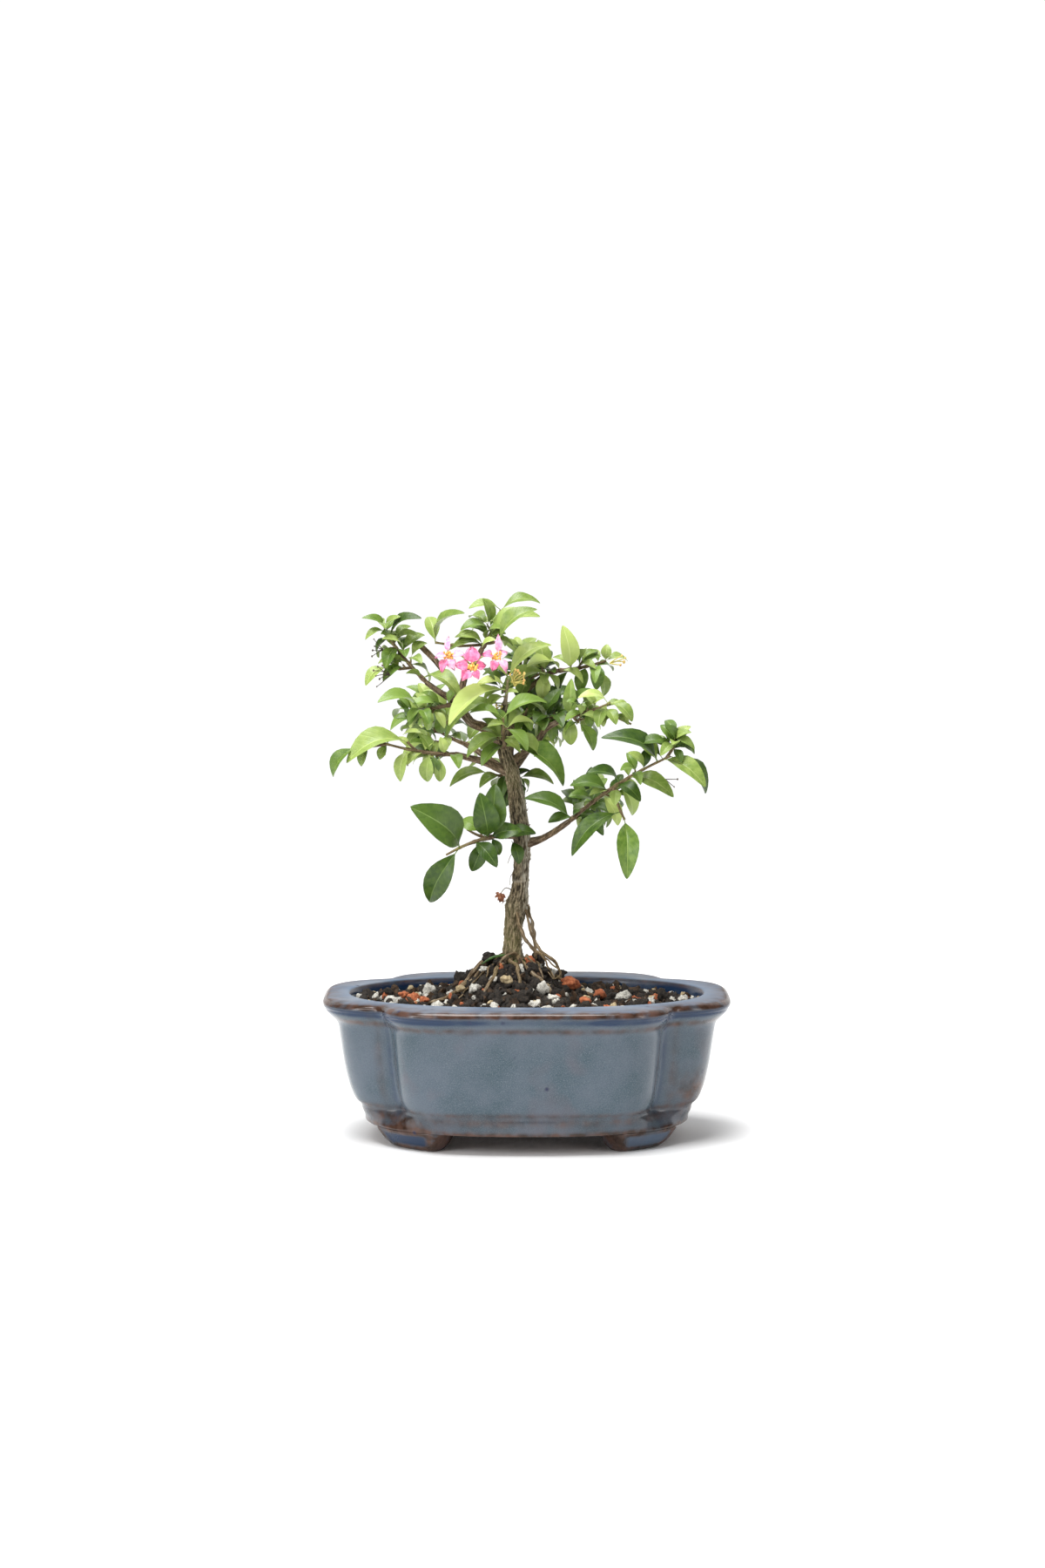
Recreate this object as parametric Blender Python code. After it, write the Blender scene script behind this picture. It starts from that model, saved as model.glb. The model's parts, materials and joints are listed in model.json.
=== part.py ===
"""Barbados cherry bonsai in a glazed, lobed pot, as one body of separate solids.

The origin is on the ground under the middle of the pot. +X is the plant's right as it is shown,
+Y is its back and +Z is up. The sizes below are in millimetres, and the meshes in metres.

The plant is built in three layers. Limbs are smooth tapering tubes along a few named points.
Each foliage mass has one stem that carries on from a limb, and shoots that leave the stem. Stem
and shoots hold opposite leaves, whose lean, fold and width a seeded rule settles. A leaf or
shoot that would touch a limb, another mass or a neighbour is skipped.
"""
import math
import random

import bmesh
import bpy
from mathutils import Matrix, Vector, noise
from mathutils.bvhtree import BVHTree

MM = 0.001
CLEAR = 0.3                     # gap between neighbouring solids

# Pot: two crossed rounded oblongs, 8 in long, with an oval mouth
POT_LONG = (101.6, 52.0, 4.0)   # half length, half depth and squareness of the end lobes
POT_BROAD = (73.5, 74.0, 4.6)   # the same for the front and back lobes
POT_MOUTH = (88.5, 54.0, 2.2)   # inner edge of the rim
POT_FOOT_OVAL = (81.0, 62.0, 2.4)
POT_BASE_Z = 10.0
POT_FLOOR_Z = 16.0
POT_RIM_Z = 72.5
BROAD_SHARE = 0.65              # how much of the end lobes' taper the broad lobes take
END_STEPS = 8
FRONT_STEPS = 14
# outer profile, bottom to lip: height, taper of the end lobes, share of the oval base
POT_PROFILE = ((10.0, 20.8, 1.0), (13.0, 17.6, 0.75), (16.3, 18.1, 0.35), (21.0, 16.1, 0.0),
               (28.0, 13.1, 0.0), (38.0, 10.6, 0.0), (52.0, 8.2, 0.0), (58.0, 7.0, 0.0),
               (61.8, 3.6, 0.0), (65.0, 0.8, 0.0), (68.0, 0.0, 0.0), (70.8, 0.4, 0.0))
POT_WALL = 5.5
# inner wall, mouth to floor: height, how far the oval has drawn in, and the lobes' taper there
POT_CAVITY = ((71.9, -1.2, 0.0), (69.5, 0.6, 0.4), (66.5, 1.2, 5.0), (60.0, 2.0, 9.0),
              (48.0, 4.0, 10.0), (30.0, 8.0, 14.0), (POT_FLOOR_Z, 17.0, 20.0))

# Feet: four pieces of a ring under the oval base
FOOT_SPAN = (19.0, 53.5)        # first and last angle, degrees from the pot's long axis
FOOT_WIDTH = 17.0
FOOT_LEVELS = ((POT_BASE_Z - CLEAR, 0.0, 1.5), (5.0, 2.5, 3.0), (1.0, 6.0, 6.0), (0.0, 7.5, 7.0))
FOOT_STEPS = 6

# Soil: level with the rim's foot, heaped up round the trunk
SOIL_EDGE_Z = 66.5
SOIL_TOP_Z = 87.0
SOIL_EDGE_GAP = 0.9             # between the soil and the wall, at the top
SOIL_SLACK = 2.4                # and below it, where the ball has shrunk from the wall
MOUND_CENTRE = (-7.0, 0.0)
MOUND_FLAT = 9.5                # radius of the level top that the trunk stands on
MOUND_HALF = 24.0               # distance at which the mound has lost half its height
MOUND_RINGS = (0.88, 0.76, 0.65, 0.55, 0.46, 0.38, 0.31, 0.24, 0.17, 0.1, 0.04, 0.0)
LUMP_SPACING = 7.0              # half the distance from one lump of coarse grit to the next
LUMP_RISE = 4.0
LUMP_LIMITS = (-0.8, 1.8)       # lowest and highest place of a lump, from the mound's curve
LUMP_FROM_ROOTS = (4.0, 9.0)    # distances at which lumps begin, and reach their full height

# Limbs: points along the middle of each, as x, y, z and radius
TRUNK = ((-7.0, 0.0, SOIL_TOP_Z + CLEAR, 5.0), (-7.0, 0.0, 93.0, 4.4), (-6.7, 0.0, 104.0, 4.2),
         (-5.0, 0.0, 115.5, 5.2), (-3.7, 0.0, 122.0, 4.3), (-2.8, 0.0, 134.0, 3.7),
         (-2.4, 0.0, 148.0, 4.0), (-3.9, 0.0, 160.5, 4.2), (-5.6, 0.0, 173.0, 3.8),
         (-7.2, 0.0, 181.5, 3.5), (-10.4, -0.5, 191.0, 3.4), (-12.0, -1.5, 198.0, 3.1),
         (-12.4, -3.0, 204.0, 2.2), (-11.8, -4.2, 211.0, 1.9), (-11.0, -5.2, 216.5, 1.6))
FLARE_HEIGHT = 9.0
FLARE_REACH = 0.45              # share by which the root flare widens the trunk at the soil
FLARE_LOBES = 4

LIMBS = {
    "bough_left": ((-11.5, -1.2, 196.5, 2.7), (-20.5, -2.5, 204.5, 2.5),
                   (-28.0, -3.5, 208.0, 2.2), (-34.0, -3.0, 217.0, 2.4)),
    "bough_upper_left": ((-34.0, -3.0, 217.0, 1.7), (-43.0, -2.0, 222.5, 1.5),
                         (-49.5, 0.0, 227.0, 1.3)),
    "bough_apex": ((-34.0, -3.0, 216.0, 1.8), (-30.5, -1.0, 231.0, 1.6),
                   (-25.5, 0.0, 238.0, 1.4), (-22.5, 0.5, 243.6, 1.3)),
    "stub_upper_left": ((-34.0, -2.0, 217.0, 1.5), (-42.5, 5.5, 234.0, 1.4),
                        (-53.5, 11.5, 245.5, 1.5)),
    "bough_back": ((-8.6, 0.0, 186.0, 2.0), (-8.0, 8.0, 202.0, 2.0),
                   (-6.0, 12.0, 214.0, 1.9), (-2.0, 14.0, 224.0, 1.7)),
    "bough_upper_right": ((-4.0, 13.0, 219.0, 1.4), (8.0, 12.5, 229.5, 1.3),
                          (15.0, 12.0, 232.5, 1.2)),
    "bough_right": ((-9.0, 0.0, 187.0, 1.9), (4.0, 2.0, 196.5, 1.7),
                    (10.0, 0.0, 204.5, 1.5), (20.5, -4.0, 210.6, 1.3)),
    "bough_rear": ((-7.5, 0.0, 182.0, 1.8), (-1.0, 16.0, 190.0, 1.6),
                   (4.0, 28.0, 196.0, 1.4)),
    "bough_rear_left": ((-7.0, 0.0, 180.5, 1.7), (-20.0, 13.0, 189.0, 1.5),
                        (-31.0, 21.0, 195.0, 1.3)),
    "bough_mid_left": ((-9.0, 0.0, 182.0, 2.1), (-20.0, -3.0, 187.5, 1.9),
                       (-28.0, -6.0, 190.0, 1.6), (-35.0, -9.0, 192.0, 1.5)),
    "bough_low_right": ((-2.4, 0.0, 145.0, 1.9), (10.0, -5.0, 151.0, 1.6),
                        (20.5, -10.0, 158.5, 1.4)),
    "bough_low_left": ((-3.0, 0.0, 150.5, 1.5), (-15.5, -9.5, 151.5, 1.2)),
    "bough_low_rear": ((-2.6, 0.0, 147.5, 1.5), (10.1, 12.0, 149.3, 1.3), (20.9, 22.0, 155.4, 1.2)),
}

# Roots that show above the soil: points as x, y, how far the middle lies above it, and radius
PROP_ROOTS = {
    "prop_root_outer": ((0.3, -2.4, 112.0, 0.8), (1.6, -3.4, 105.0, 0.8), (3.4, -4.2, 99.0, 0.8),
                        (7.0, -5.2, 93.0, 0.8), (13.0, -6.6, 89.5, 0.8), (16.4, -9.0, 84.5, 0.7)),
    "prop_root_inner": ((1.0, 1.6, 113.0, 0.8), (2.4, 1.8, 107.0, 0.8), (3.6, 1.9, 100.0, 0.8),
                        (4.6, 2.0, 88.9, 0.7)),
}
SURFACE_ROOTS = {
    "root_left": ((190.0, 15.0, 1.4), (200.0, 26.0, 1.1), (206.0, 38.0, 0.9), (210.0, 50.0, 0.7)),
    "root_front_left": ((236.0, 9.0, 1.2), (244.0, 17.0, 1.0), (238.0, 27.0, 0.8)),
    "root_front": ((262.0, 9.0, 1.1), (276.0, 14.0, 1.0), (284.0, 20.0, 0.8)),
    "root_front_right": ((300.0, 9.5, 1.2), (304.0, 17.0, 1.0), (312.0, 25.0, 0.8)),
    "root_right": ((352.0, 22.0, 0.9), (352.0, 34.0, 0.8), (356.0, 44.0, 0.6)),
}

ROOT_LIFT = 0.8                 # how far a surface root's underside clears the mound's curve
LIMB_SIDES = 8
TRIM_STEP = 0.2                 # step by which a limb's start is drawn back to stand clear

# Leaves and shoots
LIGHT = Vector((0.0, -0.75, 0.66))   # leaves turn their faces this way
LEAF_THICK = 0.5
LEAF_SINK = 0.5                 # how far a leaf's root runs on past the middle of its twig
LEAF_ARCH = 0.13                # rise of the middle over the chord, as a share of the length
LEAF_FOLD = 0.30                # how far the edges stand up from the midrib, as a share of half width
LEAF_NECK = 2.2                 # length of a leaf's foot that may touch its neighbours
LEAF_LEANS = (0.0, -0.3, 0.3, -0.6, 0.6, -0.9, 0.9)
STEM_RADIUS = 1.35
SHOOT_BEND = 10.0               # degrees by which a shoot turns up towards its tip
STEM_STEPS = 4
SHOOT_RADIUS = 1.0
TIP_RADIUS = 0.65

# Masses. "stem" is heading, rise and length; a heading turns from +X towards +Y, a rise from level.
# A row in "leaves" is a place along the stem and, for each leaf of the pair, its lean as seen
# from the front (0 is right, 90 is up) and its length, where 0 leaves that one out. A shoot is a
# place, heading, rise, length and leaf rows. "fill" is how many seeded shoots are added, their
# length and their leaves' length.
MASSES = {
    "foliage_low_right": dict(
        on="bough_low_right", stem=(332, 32, 66, -12), seed=3,
        leaves=((0.02, 150, 24, 15, 12), (0.05, 188, 12, 55, 6), (0.27, 165, 12, 228, 15),
                (0.36, 140, 12, 300, 16), (0.42, 168, 18, 188, 9), (0.50, 335, 12, 60, 6),
                (0.53, 155, 16, 295, 17), (0.62, 345, 21, 95, 7), (0.76, 130, 11, 80, 10),
                (0.89, 149, 28, 125, 15), (0.94, 331, 22, 152, 17), (1.00, 0, 0, 319, 25)),
        shoots=((0.47, 322, -66, 17, ((0.75, 216, 30, 0, 0), (1.0, 272, 25, 0, 0))),
                (0.97, 350, 62, 9, ((0.5, 150, 9, 20, 9), (1.0, 115, 9, 50, 10))))),
    "foliage_low_left": dict(
        on="bough_low_left", stem=(209, -16, 29, -14), seed=5,
        leaves=((0.07, 18, 15, 298, 10), (0.14, 98, 22, 82, 27), (0.22, 78, 14, 249, 17),
                (0.42, 317, 18, 0, 0), (0.73, 132, 30, 240, 32)),
        shoots=((0.16, 185, 24, 11, ()),)),
    "foliage_front": dict(
        on=("trunk", 194.0, 268.0), stem=(268, 52, 22), seed=7,
        leaves=((0.05, 208, 10, 350, 9), (0.12, 215, 15, 329, 28), (0.45, 203, 19, 333, 20),
                (1.00, 167, 16, 22, 22)), shoots=()),
    "foliage_leader": dict(
        on="trunk", stem=(300, 75, 13), seed=28,
        leaves=((0.02, 206, 32, 340, 22), (0.62, 207, 31, 24, 20), (0.70, 172, 16, 8, 9),
                (1.00, 110, 9, 60, 24)), shoots=()),
    "foliage_upper_left": dict(
        on="bough_upper_left", stem=(155, 47, 34), seed=2,
        leaves=((0.10, 342, 19, 160, 8), (0.40, 177, 15, 322, 13), (0.72, 240, 12, 280, 8),
                (0.78, 24, 13, 130, 7), (0.90, 36, 18, 225, 10), (1.00, 143, 13, 52, 10)),
        shoots=((0.33, 190, 0, 13, ((0.5, 150, 8, 200, 9), (1.0, 213, 12, 0, 0))),)),
    "foliage_left": dict(
        on=("bough_left", 216.0, 195.0), stem=(197, -8, 18), seed=4,
        leaves=((0.10, 60, 9, 218, 14), (0.45, 168, 13, 215, 10), (0.80, 228, 12, 120, 9),
                (1.00, 163, 19, 235, 9)), shoots=()),
    "foliage_mid_left": dict(
        on="bough_mid_left", stem=(204, 10, 39), seed=6,
        leaves=((0.02, 300, 9, 196, 8), (0.16, 100, 8, 75, 9), (0.36, 262, 14, 120, 10),
                (0.44, 214, 10, 60, 9), (0.66, 252, 15, 130, 8), (0.95, 240, 8, 110, 6),
                (1.00, 200, 11, 265, 6)),
        shoots=((0.55, 215, 42, 7, ((1.0, 194, 29, 0, 0),)),
                (0.98, 195, -4, 14, ((0.6, 245, 10, 120, 6), (1.0, 228, 16, 0, 0))))),
    "foliage_apex": dict(
        on="bough_apex", stem=(38, 58, 23), seed=9,
        leaves=((0.08, 157, 14, 178, 15), (0.20, 31, 28, 47, 16), (0.35, 350, 9, 150, 10),
                (0.72, 200, 12, 20, 9), (1.00, 174, 15, 16, 19)),
        shoots=((0.16, 300, 8, 14, ((1.0, 43, 23, 200, 9),)),
                (0.12, 172, 2, 25, ((0.5, 60, 9, 210, 8), (1.0, 50, 20, 105, 13))))),
    "foliage_back": dict(
        on="bough_back", stem=(100, 66, 14), seed=10,
        leaves=((0.10, 200, 12, 340, 12), (0.45, 170, 18, 20, 13), (0.75, 100, 12, 30, 13),
                (1.00, 130, 13, 60, 14)),
        shoots=((0.30, 330, 20, 14, ((0.4, 240, 14, 60, 12), (1.0, 265, 14, 100, 15))),)),
    "foliage_upper_right": dict(
        on="bough_upper_right", stem=(26, 9, 28), seed=11,
        leaves=((0.05, 166, 21, 336, 12), (0.26, 98, 18, 250, 14), (0.45, 120, 11, 30, 12),
                (0.60, 255, 13, 60, 11), (0.85, 265, 12, 112, 9), (1.00, 85, 8, 2, 11)),
        shoots=()),
    "foliage_right": dict(
        on="bough_right", stem=(326, 17, 26), seed=12,
        leaves=((0.06, 92, 17, 268, 14), (0.14, 60, 15, 311, 16), (0.40, 290, 8, 200, 10),
                (0.62, 300, 9, 120, 9), (0.95, 158, 14, 250, 8), (1.00, 323, 13, 340, 10)),
        shoots=((0.10, 300, -30, 6, ((1.0, 300, 15, 220, 9),)),
                (0.80, 350, -30, 17, ((0.4, 330, 9, 210, 8),)))),
    "foliage_trunk": dict(
        on=("trunk", 172.0, 100.0), stem=(110, 35, 13), seed=13,
        leaves=((0.60, 260, 12, 300, 12), (1.00, 255, 12, 306, 13)),
        shoots=((0.90, 182, 8, 9, ((1.0, 192, 20, 0, 0),)),
                (0.80, 2, 0, 6, ((1.0, 356, 16, 300, 8),)))),
    "foliage_rear": dict(on="bough_rear", stem=(80, 20, 24), seed=14, fill=(6, 13, 16)),
    "foliage_rear_left": dict(on="bough_rear_left", stem=(140, 20, 26), seed=15, fill=(6, 13, 16)),
    "foliage_rear_low": dict(on="bough_low_rear", stem=(55, 22, 20), seed=16, fill=(4, 11, 15)),
    "foliage_inner_right": dict(
        on=("bough_back", 207.0, 350.0), stem=(350, 10, 14), seed=17, fill=(4, 10, 14)),
}


def clear_scene():
    """Remove whatever the scene holds."""
    for item in list(bpy.data.objects):
        bpy.data.objects.remove(item, do_unlink=True)


def material(name, colour, roughness):
    """A plain Principled material."""
    made = bpy.data.materials.new(name)
    made.use_nodes = True
    shader = made.node_tree.nodes["Principled BSDF"]
    shader.inputs["Base Color"].default_value = (*colour, 1.0)
    shader.inputs["Roughness"].default_value = roughness
    made.diffuse_color = (*colour, 1.0)
    return made


def heading_vector(heading, rise):
    """Unit vector from a heading and a rise, both in degrees."""
    turn = math.radians(heading)
    lift = math.radians(rise)
    return Vector((math.cos(lift) * math.cos(turn), math.cos(lift) * math.sin(turn), math.sin(lift)))


def add_object(name, mesh, finish, collection):
    """Link a mesh, made in millimetres, as one named object in metres."""
    mesh.transform(Matrix.Scale(MM, 4))
    mesh.materials.clear()
    mesh.materials.append(finish)
    made = bpy.data.objects.new(name, mesh)
    collection.objects.link(made)
    return made


def smooth_path(points, step_count=3):
    """Points with radii along a Catmull-Rom curve through the given ones."""
    rows = [Vector(p[:3]) for p in points]
    radii = [p[3] for p in points]
    rows = [2 * rows[0] - rows[1]] + rows + [2 * rows[-1] - rows[-2]]
    path = []
    for index in range(1, len(rows) - 2):
        before, start, end, after = rows[index - 1:index + 3]
        for step in range(step_count):
            t = step / step_count
            spot = 0.5 * ((2 * start) + (end - before) * t
                          + (2 * before - 5 * start + 4 * end - after) * t * t
                          + (3 * start - before - 3 * end + after) * t ** 3)
            path.append((spot, radii[index - 1] * (1 - t) + radii[index] * t))
    path.append((rows[-2], radii[-1]))
    return path


def limb_mesh(name, path, sides=LIMB_SIDES):
    """A tapering tube along a path, from a bevelled curve with its caps welded on."""
    curve = bpy.data.curves.new(name, "CURVE")
    curve.dimensions = "3D"
    curve.bevel_depth = 1.0
    curve.bevel_resolution = sides // 2 - 2
    curve.use_fill_caps = True
    spline = curve.splines.new("POLY")
    spline.points.add(len(path) - 1)
    for point, (spot, radius) in zip(spline.points, path):
        point.co = (*spot, 1.0)
        point.radius = radius
    holder = bpy.data.objects.new(name, curve)
    bpy.context.scene.collection.objects.link(holder)
    bpy.context.view_layer.update()
    evaluated = holder.evaluated_get(bpy.context.evaluated_depsgraph_get())
    mesh = bpy.data.meshes.new_from_object(evaluated)
    bpy.data.objects.remove(holder, do_unlink=True)
    shape = bmesh.new()
    shape.from_mesh(mesh)
    bmesh.ops.remove_doubles(shape, verts=shape.verts, dist=0.01)
    bmesh.ops.recalc_face_normals(shape, faces=shape.faces)
    shape.to_mesh(mesh)
    shape.free()
    mesh.shade_smooth()
    mesh.set_sharp_from_angle(angle=math.radians(50))
    return mesh


def oval_radius(oval, angle, long_in=0.0, deep_in=0.0):
    """Distance from the middle to a squared oval, drawn in by the given amounts."""
    length, depth, power = oval
    across = abs(math.cos(angle)) / (length - long_in)
    along = abs(math.sin(angle)) / (depth - deep_in)
    return (across ** power + along ** power) ** (-1.0 / power)


def lobed_radius(angle, taper, oval_share):
    """Outer radius of the pot: the farther of its two crossed oblongs, or the oval base."""
    ends = oval_radius(POT_LONG, angle, taper, taper * BROAD_SHARE)
    broad = oval_radius(POT_BROAD, angle, taper * BROAD_SHARE, taper * BROAD_SHARE)
    base = oval_radius(POT_FOOT_OVAL, angle)
    return max(ends, broad) * (1 - oval_share) + base * oval_share


def crossing_angle(taper):
    """Angle in the first quarter at which an end lobe meets the front lobe."""
    low, high = math.radians(10), math.radians(60)
    for _ in range(40):
        middle = (low + high) / 2
        ends = oval_radius(POT_LONG, middle, taper, taper * BROAD_SHARE)
        broad = oval_radius(POT_BROAD, middle, taper * BROAD_SHARE, taper * BROAD_SHARE)
        if ends > broad:
            low = middle
        else:
            high = middle
    return low


def column_angles(taper):
    """Angles of the pot's columns, with one on each of the four notches."""
    notch = crossing_angle(taper)
    corners = (-notch, notch, math.pi - notch, math.pi + notch, 2 * math.pi - notch)
    angles = []
    for index, steps in enumerate((END_STEPS, FRONT_STEPS, END_STEPS, FRONT_STEPS)):
        first, last = corners[index], corners[index + 1]
        angles += [first + (last - first) * step / steps for step in range(steps)]
    return angles


def cavity_radius(angle, inset, taper):
    """Radius of the cavity: the drawn-in mouth, or a wall's thickness inside the lobes."""
    mouth = oval_radius(POT_MOUTH, angle, inset, inset)
    return min(mouth, lobed_radius(angle, taper, 0.0) - POT_WALL)


def ring(radius_at, angles, z):
    """One closed row of points round the pot's axis."""
    return [Vector((radius_at(a) * math.cos(a), radius_at(a) * math.sin(a), z)) for a in angles]


def loft_mesh(name, rows):
    """Closed mesh from rows of points, each joined to the next, with the end rows capped."""
    shape = bmesh.new()
    loops = [[shape.verts.new(spot) for spot in row] for row in rows]
    count = len(rows[0])
    for lower, upper in zip(loops, loops[1:]):
        for index in range(count):
            after = (index + 1) % count
            shape.faces.new((lower[index], lower[after], upper[after], upper[index]))
    shape.faces.new(list(reversed(loops[0])))
    shape.faces.new(loops[-1])
    bmesh.ops.recalc_face_normals(shape, faces=shape.faces)
    mesh = bpy.data.meshes.new(name)
    shape.to_mesh(mesh)
    shape.free()
    mesh.shade_smooth()
    mesh.set_sharp_from_angle(angle=math.radians(35))
    return mesh


def pot_mesh():
    """The pot's wall, rim, cavity and floor as one loft from the underside to the floor."""
    rows = []
    for z, taper, oval_share in POT_PROFILE:
        rows.append(ring(lambda a: lobed_radius(a, taper, oval_share), column_angles(taper), z))
    lip_angles = column_angles(0.0)
    mouth = ring(lambda a: oval_radius(POT_MOUTH, a), lip_angles, POT_RIM_Z)
    lip = ring(lambda a: lobed_radius(a, 1.2, 0.0), lip_angles, POT_RIM_Z - 0.8)
    rows.append(lip)
    rows.append([outer.lerp(inner, 0.7) for outer, inner in zip(lip, mouth)])
    for z, inset, taper in POT_CAVITY:
        rows.append(ring(lambda a: cavity_radius(a, inset, taper), lip_angles, z))
    return loft_mesh("pot", rows)


def foot_mesh(name, side, front):
    """One foot: a piece of a ring that draws in on every side towards its flat underside."""
    rows = []
    for z, inset, turn_in in FOOT_LEVELS:
        first = math.radians(FOOT_SPAN[0] + turn_in)
        last = math.radians(FOOT_SPAN[1] - turn_in)
        sweep = [first + (last - first) * step / FOOT_STEPS for step in range(FOOT_STEPS + 1)]
        outer = [(oval_radius(POT_FOOT_OVAL, a) - inset, a) for a in sweep]
        inner = [(oval_radius(POT_FOOT_OVAL, a) - FOOT_WIDTH + inset * 0.5, a) for a in sweep]
        outline = outer + inner[::-1]
        rows.append([Vector((side * r * math.cos(a), front * r * math.sin(a), z))
                     for r, a in reversed(outline)])
    return loft_mesh(name, rows)


def mound_height(x, y):
    """Height of the soil at a place."""
    away = math.hypot(x - MOUND_CENTRE[0], y - MOUND_CENTRE[1])
    return SOIL_EDGE_Z + (SOIL_TOP_Z - SOIL_EDGE_Z) / (1 + (max(away - MOUND_FLAT, 0.0)
                                                            / (MOUND_HALF - MOUND_FLAT)) ** 2.2)


def lump_height(x, y, roots):
    """Rise of the coarse grit over the mound's curve, which is level by the trunk and the roots."""
    free = math.hypot(x - MOUND_CENTRE[0], y - MOUND_CENTRE[1]) - MOUND_FLAT
    free = min([free] + [math.hypot(x - spot.x, y - spot.y) for spot in roots])
    share = min(max((free - LUMP_FROM_ROOTS[0]) / (LUMP_FROM_ROOTS[1] - LUMP_FROM_ROOTS[0]), 0.0), 1.0)
    rise = LUMP_RISE * noise.noise(Vector((x, y, 0.0)) / LUMP_SPACING) + sum(LUMP_LIMITS) / 2
    return share * min(max(rise, LUMP_LIMITS[0]), LUMP_LIMITS[1])


def soil_mesh():
    """The root ball: it fills the cavity, and its lumpy top heaps up round the trunk's foot."""
    angles = column_angles(0.0)
    rows = []
    for z, inset, taper in reversed(POT_CAVITY):
        if z <= SOIL_EDGE_Z:
            level = min(z + CLEAR, SOIL_EDGE_Z)
            slack = SOIL_SLACK if z < SOIL_EDGE_Z else SOIL_EDGE_GAP
            rows.append(ring(lambda a: cavity_radius(a, inset, taper) - slack, angles, level))
    edge = rows[-1]
    hub = [Vector((MOUND_CENTRE[0] + MOUND_FLAT * math.cos(a),
                   MOUND_CENTRE[1] + MOUND_FLAT * math.sin(a), 0.0)) for a in angles]
    roots = [spot for points in SURFACE_ROOTS.values() for spot, _ in surface_root_path(points)]
    for share in MOUND_RINGS:
        row = [middle.lerp(outer, share) for middle, outer in zip(hub, edge)]
        for spot in row:
            spot.z = mound_height(spot.x, spot.y) + lump_height(spot.x, spot.y, roots)
        rows.append(row)
    return loft_mesh("soil", rows)


def trunk_mesh():
    """The trunk, with its foot widened into a root flare."""
    mesh = limb_mesh("trunk", smooth_path(TRUNK), sides=12)
    foot = Vector(TRUNK[0][:3])
    for vertex in mesh.vertices:
        low = 1 - (vertex.co.z - foot.z) / FLARE_HEIGHT
        if low > 0:
            side = vertex.co - foot
            lobes = 1 + 0.35 * math.cos(FLARE_LOBES * math.atan2(side.y, side.x) + 0.6)
            widen = 1 + FLARE_REACH * low * low * lobes
            vertex.co.x = foot.x + side.x * widen
            vertex.co.y = foot.y + side.y * widen
    return mesh


def surface_root_path(points):
    """A root lying on the mound, from headings and distances round the trunk's foot."""
    path = []
    for heading, away, radius in points:
        x = MOUND_CENTRE[0] + away * math.cos(math.radians(heading))
        y = MOUND_CENTRE[1] + away * math.sin(math.radians(heading))
        further = mound_height(x + math.cos(math.radians(heading)), y + math.sin(math.radians(heading)))
        slope = mound_height(x, y) - further
        lift = (radius + ROOT_LIFT) * math.hypot(1.0, slope)
        path.append((x, y, mound_height(x, y) + lift, radius))
    return smooth_path(path)


def primitive_shape(make, **sizes):
    """Points and faces of a bmesh primitive."""
    shape = bmesh.new()
    make(shape, **sizes)
    shape.verts.index_update()
    points = [v.co.copy() for v in shape.verts]
    faces = [tuple(v.index for v in f.verts) for f in shape.faces]
    shape.free()
    return points, faces


def leaf_shape(template, base, direction, facing, length, width, fold, extra=0.0, root=LEAF_SINK):
    """A folded, arched leaf of twelve faces with a keel, its root run on behind its base."""
    points, faces = template
    reach = max(spot.z for spot in points)
    side = facing.cross(direction).normalized()
    up = direction.cross(side).normalized()
    placed = []
    for spot in points:
        t = (spot.z / reach + 1) / 2
        across = spot.y / math.sqrt(0.75) * width * (0.47 - 0.08 * spot.z)
        thick = -spot.x * (LEAF_THICK + extra) / 2
        rise = LEAF_ARCH * length * 4 * t * (1 - t) + fold * abs(across) + thick
        along = -root if t < 0.01 else t * length
        placed.append(base + direction * along + side * across + up * rise)
    return placed, faces


def twig_shape(template, start, end, start_radius, end_radius):
    """A three-sided twig between two points, run on a little at both ends."""
    points, faces = template
    axis = (end - start).normalized()
    turn = axis.to_track_quat("Z", "Y")
    length = (end - start).length
    placed = []
    for spot in points:
        top = spot.z > 0
        radius = end_radius if top else start_radius
        along = length + 0.3 * end_radius if top else 0.0
        placed.append(start + turn @ Vector((spot.x * radius, spot.y * radius, along)))
    return placed, faces


def tree_of(shape):
    return BVHTree.FromPolygons(shape[0], shape[1])


def bounds_of(shape):
    """Lowest and highest corner of a shape."""
    axes = list(zip(*shape[0]))
    return [min(axis) for axis in axes], [max(axis) for axis in axes]


def entry(shape, owner):
    """A shape's tree, bounds and owner, for the crossing test."""
    return tree_of(shape), bounds_of(shape), owner


def meets(shape, others):
    """Whether a shape crosses any of the others."""
    tree, (low, high) = tree_of(shape), bounds_of(shape)
    for other_tree, (other_low, other_high), _ in others:
        apart = any(low[i] > other_high[i] or other_low[i] > high[i] for i in range(3))
        if not apart and tree.overlap(other_tree):
            return True
    return False


def shoot_points(start, heading, rise, length, steps, bend=SHOOT_BEND):
    """Points along a shoot, whose rise grows by the bend from its first step to its last."""
    spots = [start]
    for step in range(steps):
        turned = rise + bend * (step / max(steps - 1, 1) - 0.5)
        spots.append(spots[-1] + heading_vector(heading, turned) * (length / steps))
    return spots


def place_on(spots, share):
    """Point and direction at a share of the way along a shoot."""
    reach = share * (len(spots) - 1)
    index = min(int(reach), len(spots) - 2)
    start, end = spots[index], spots[index + 1]
    return start.lerp(end, reach - index), (end - start).normalized()


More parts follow.
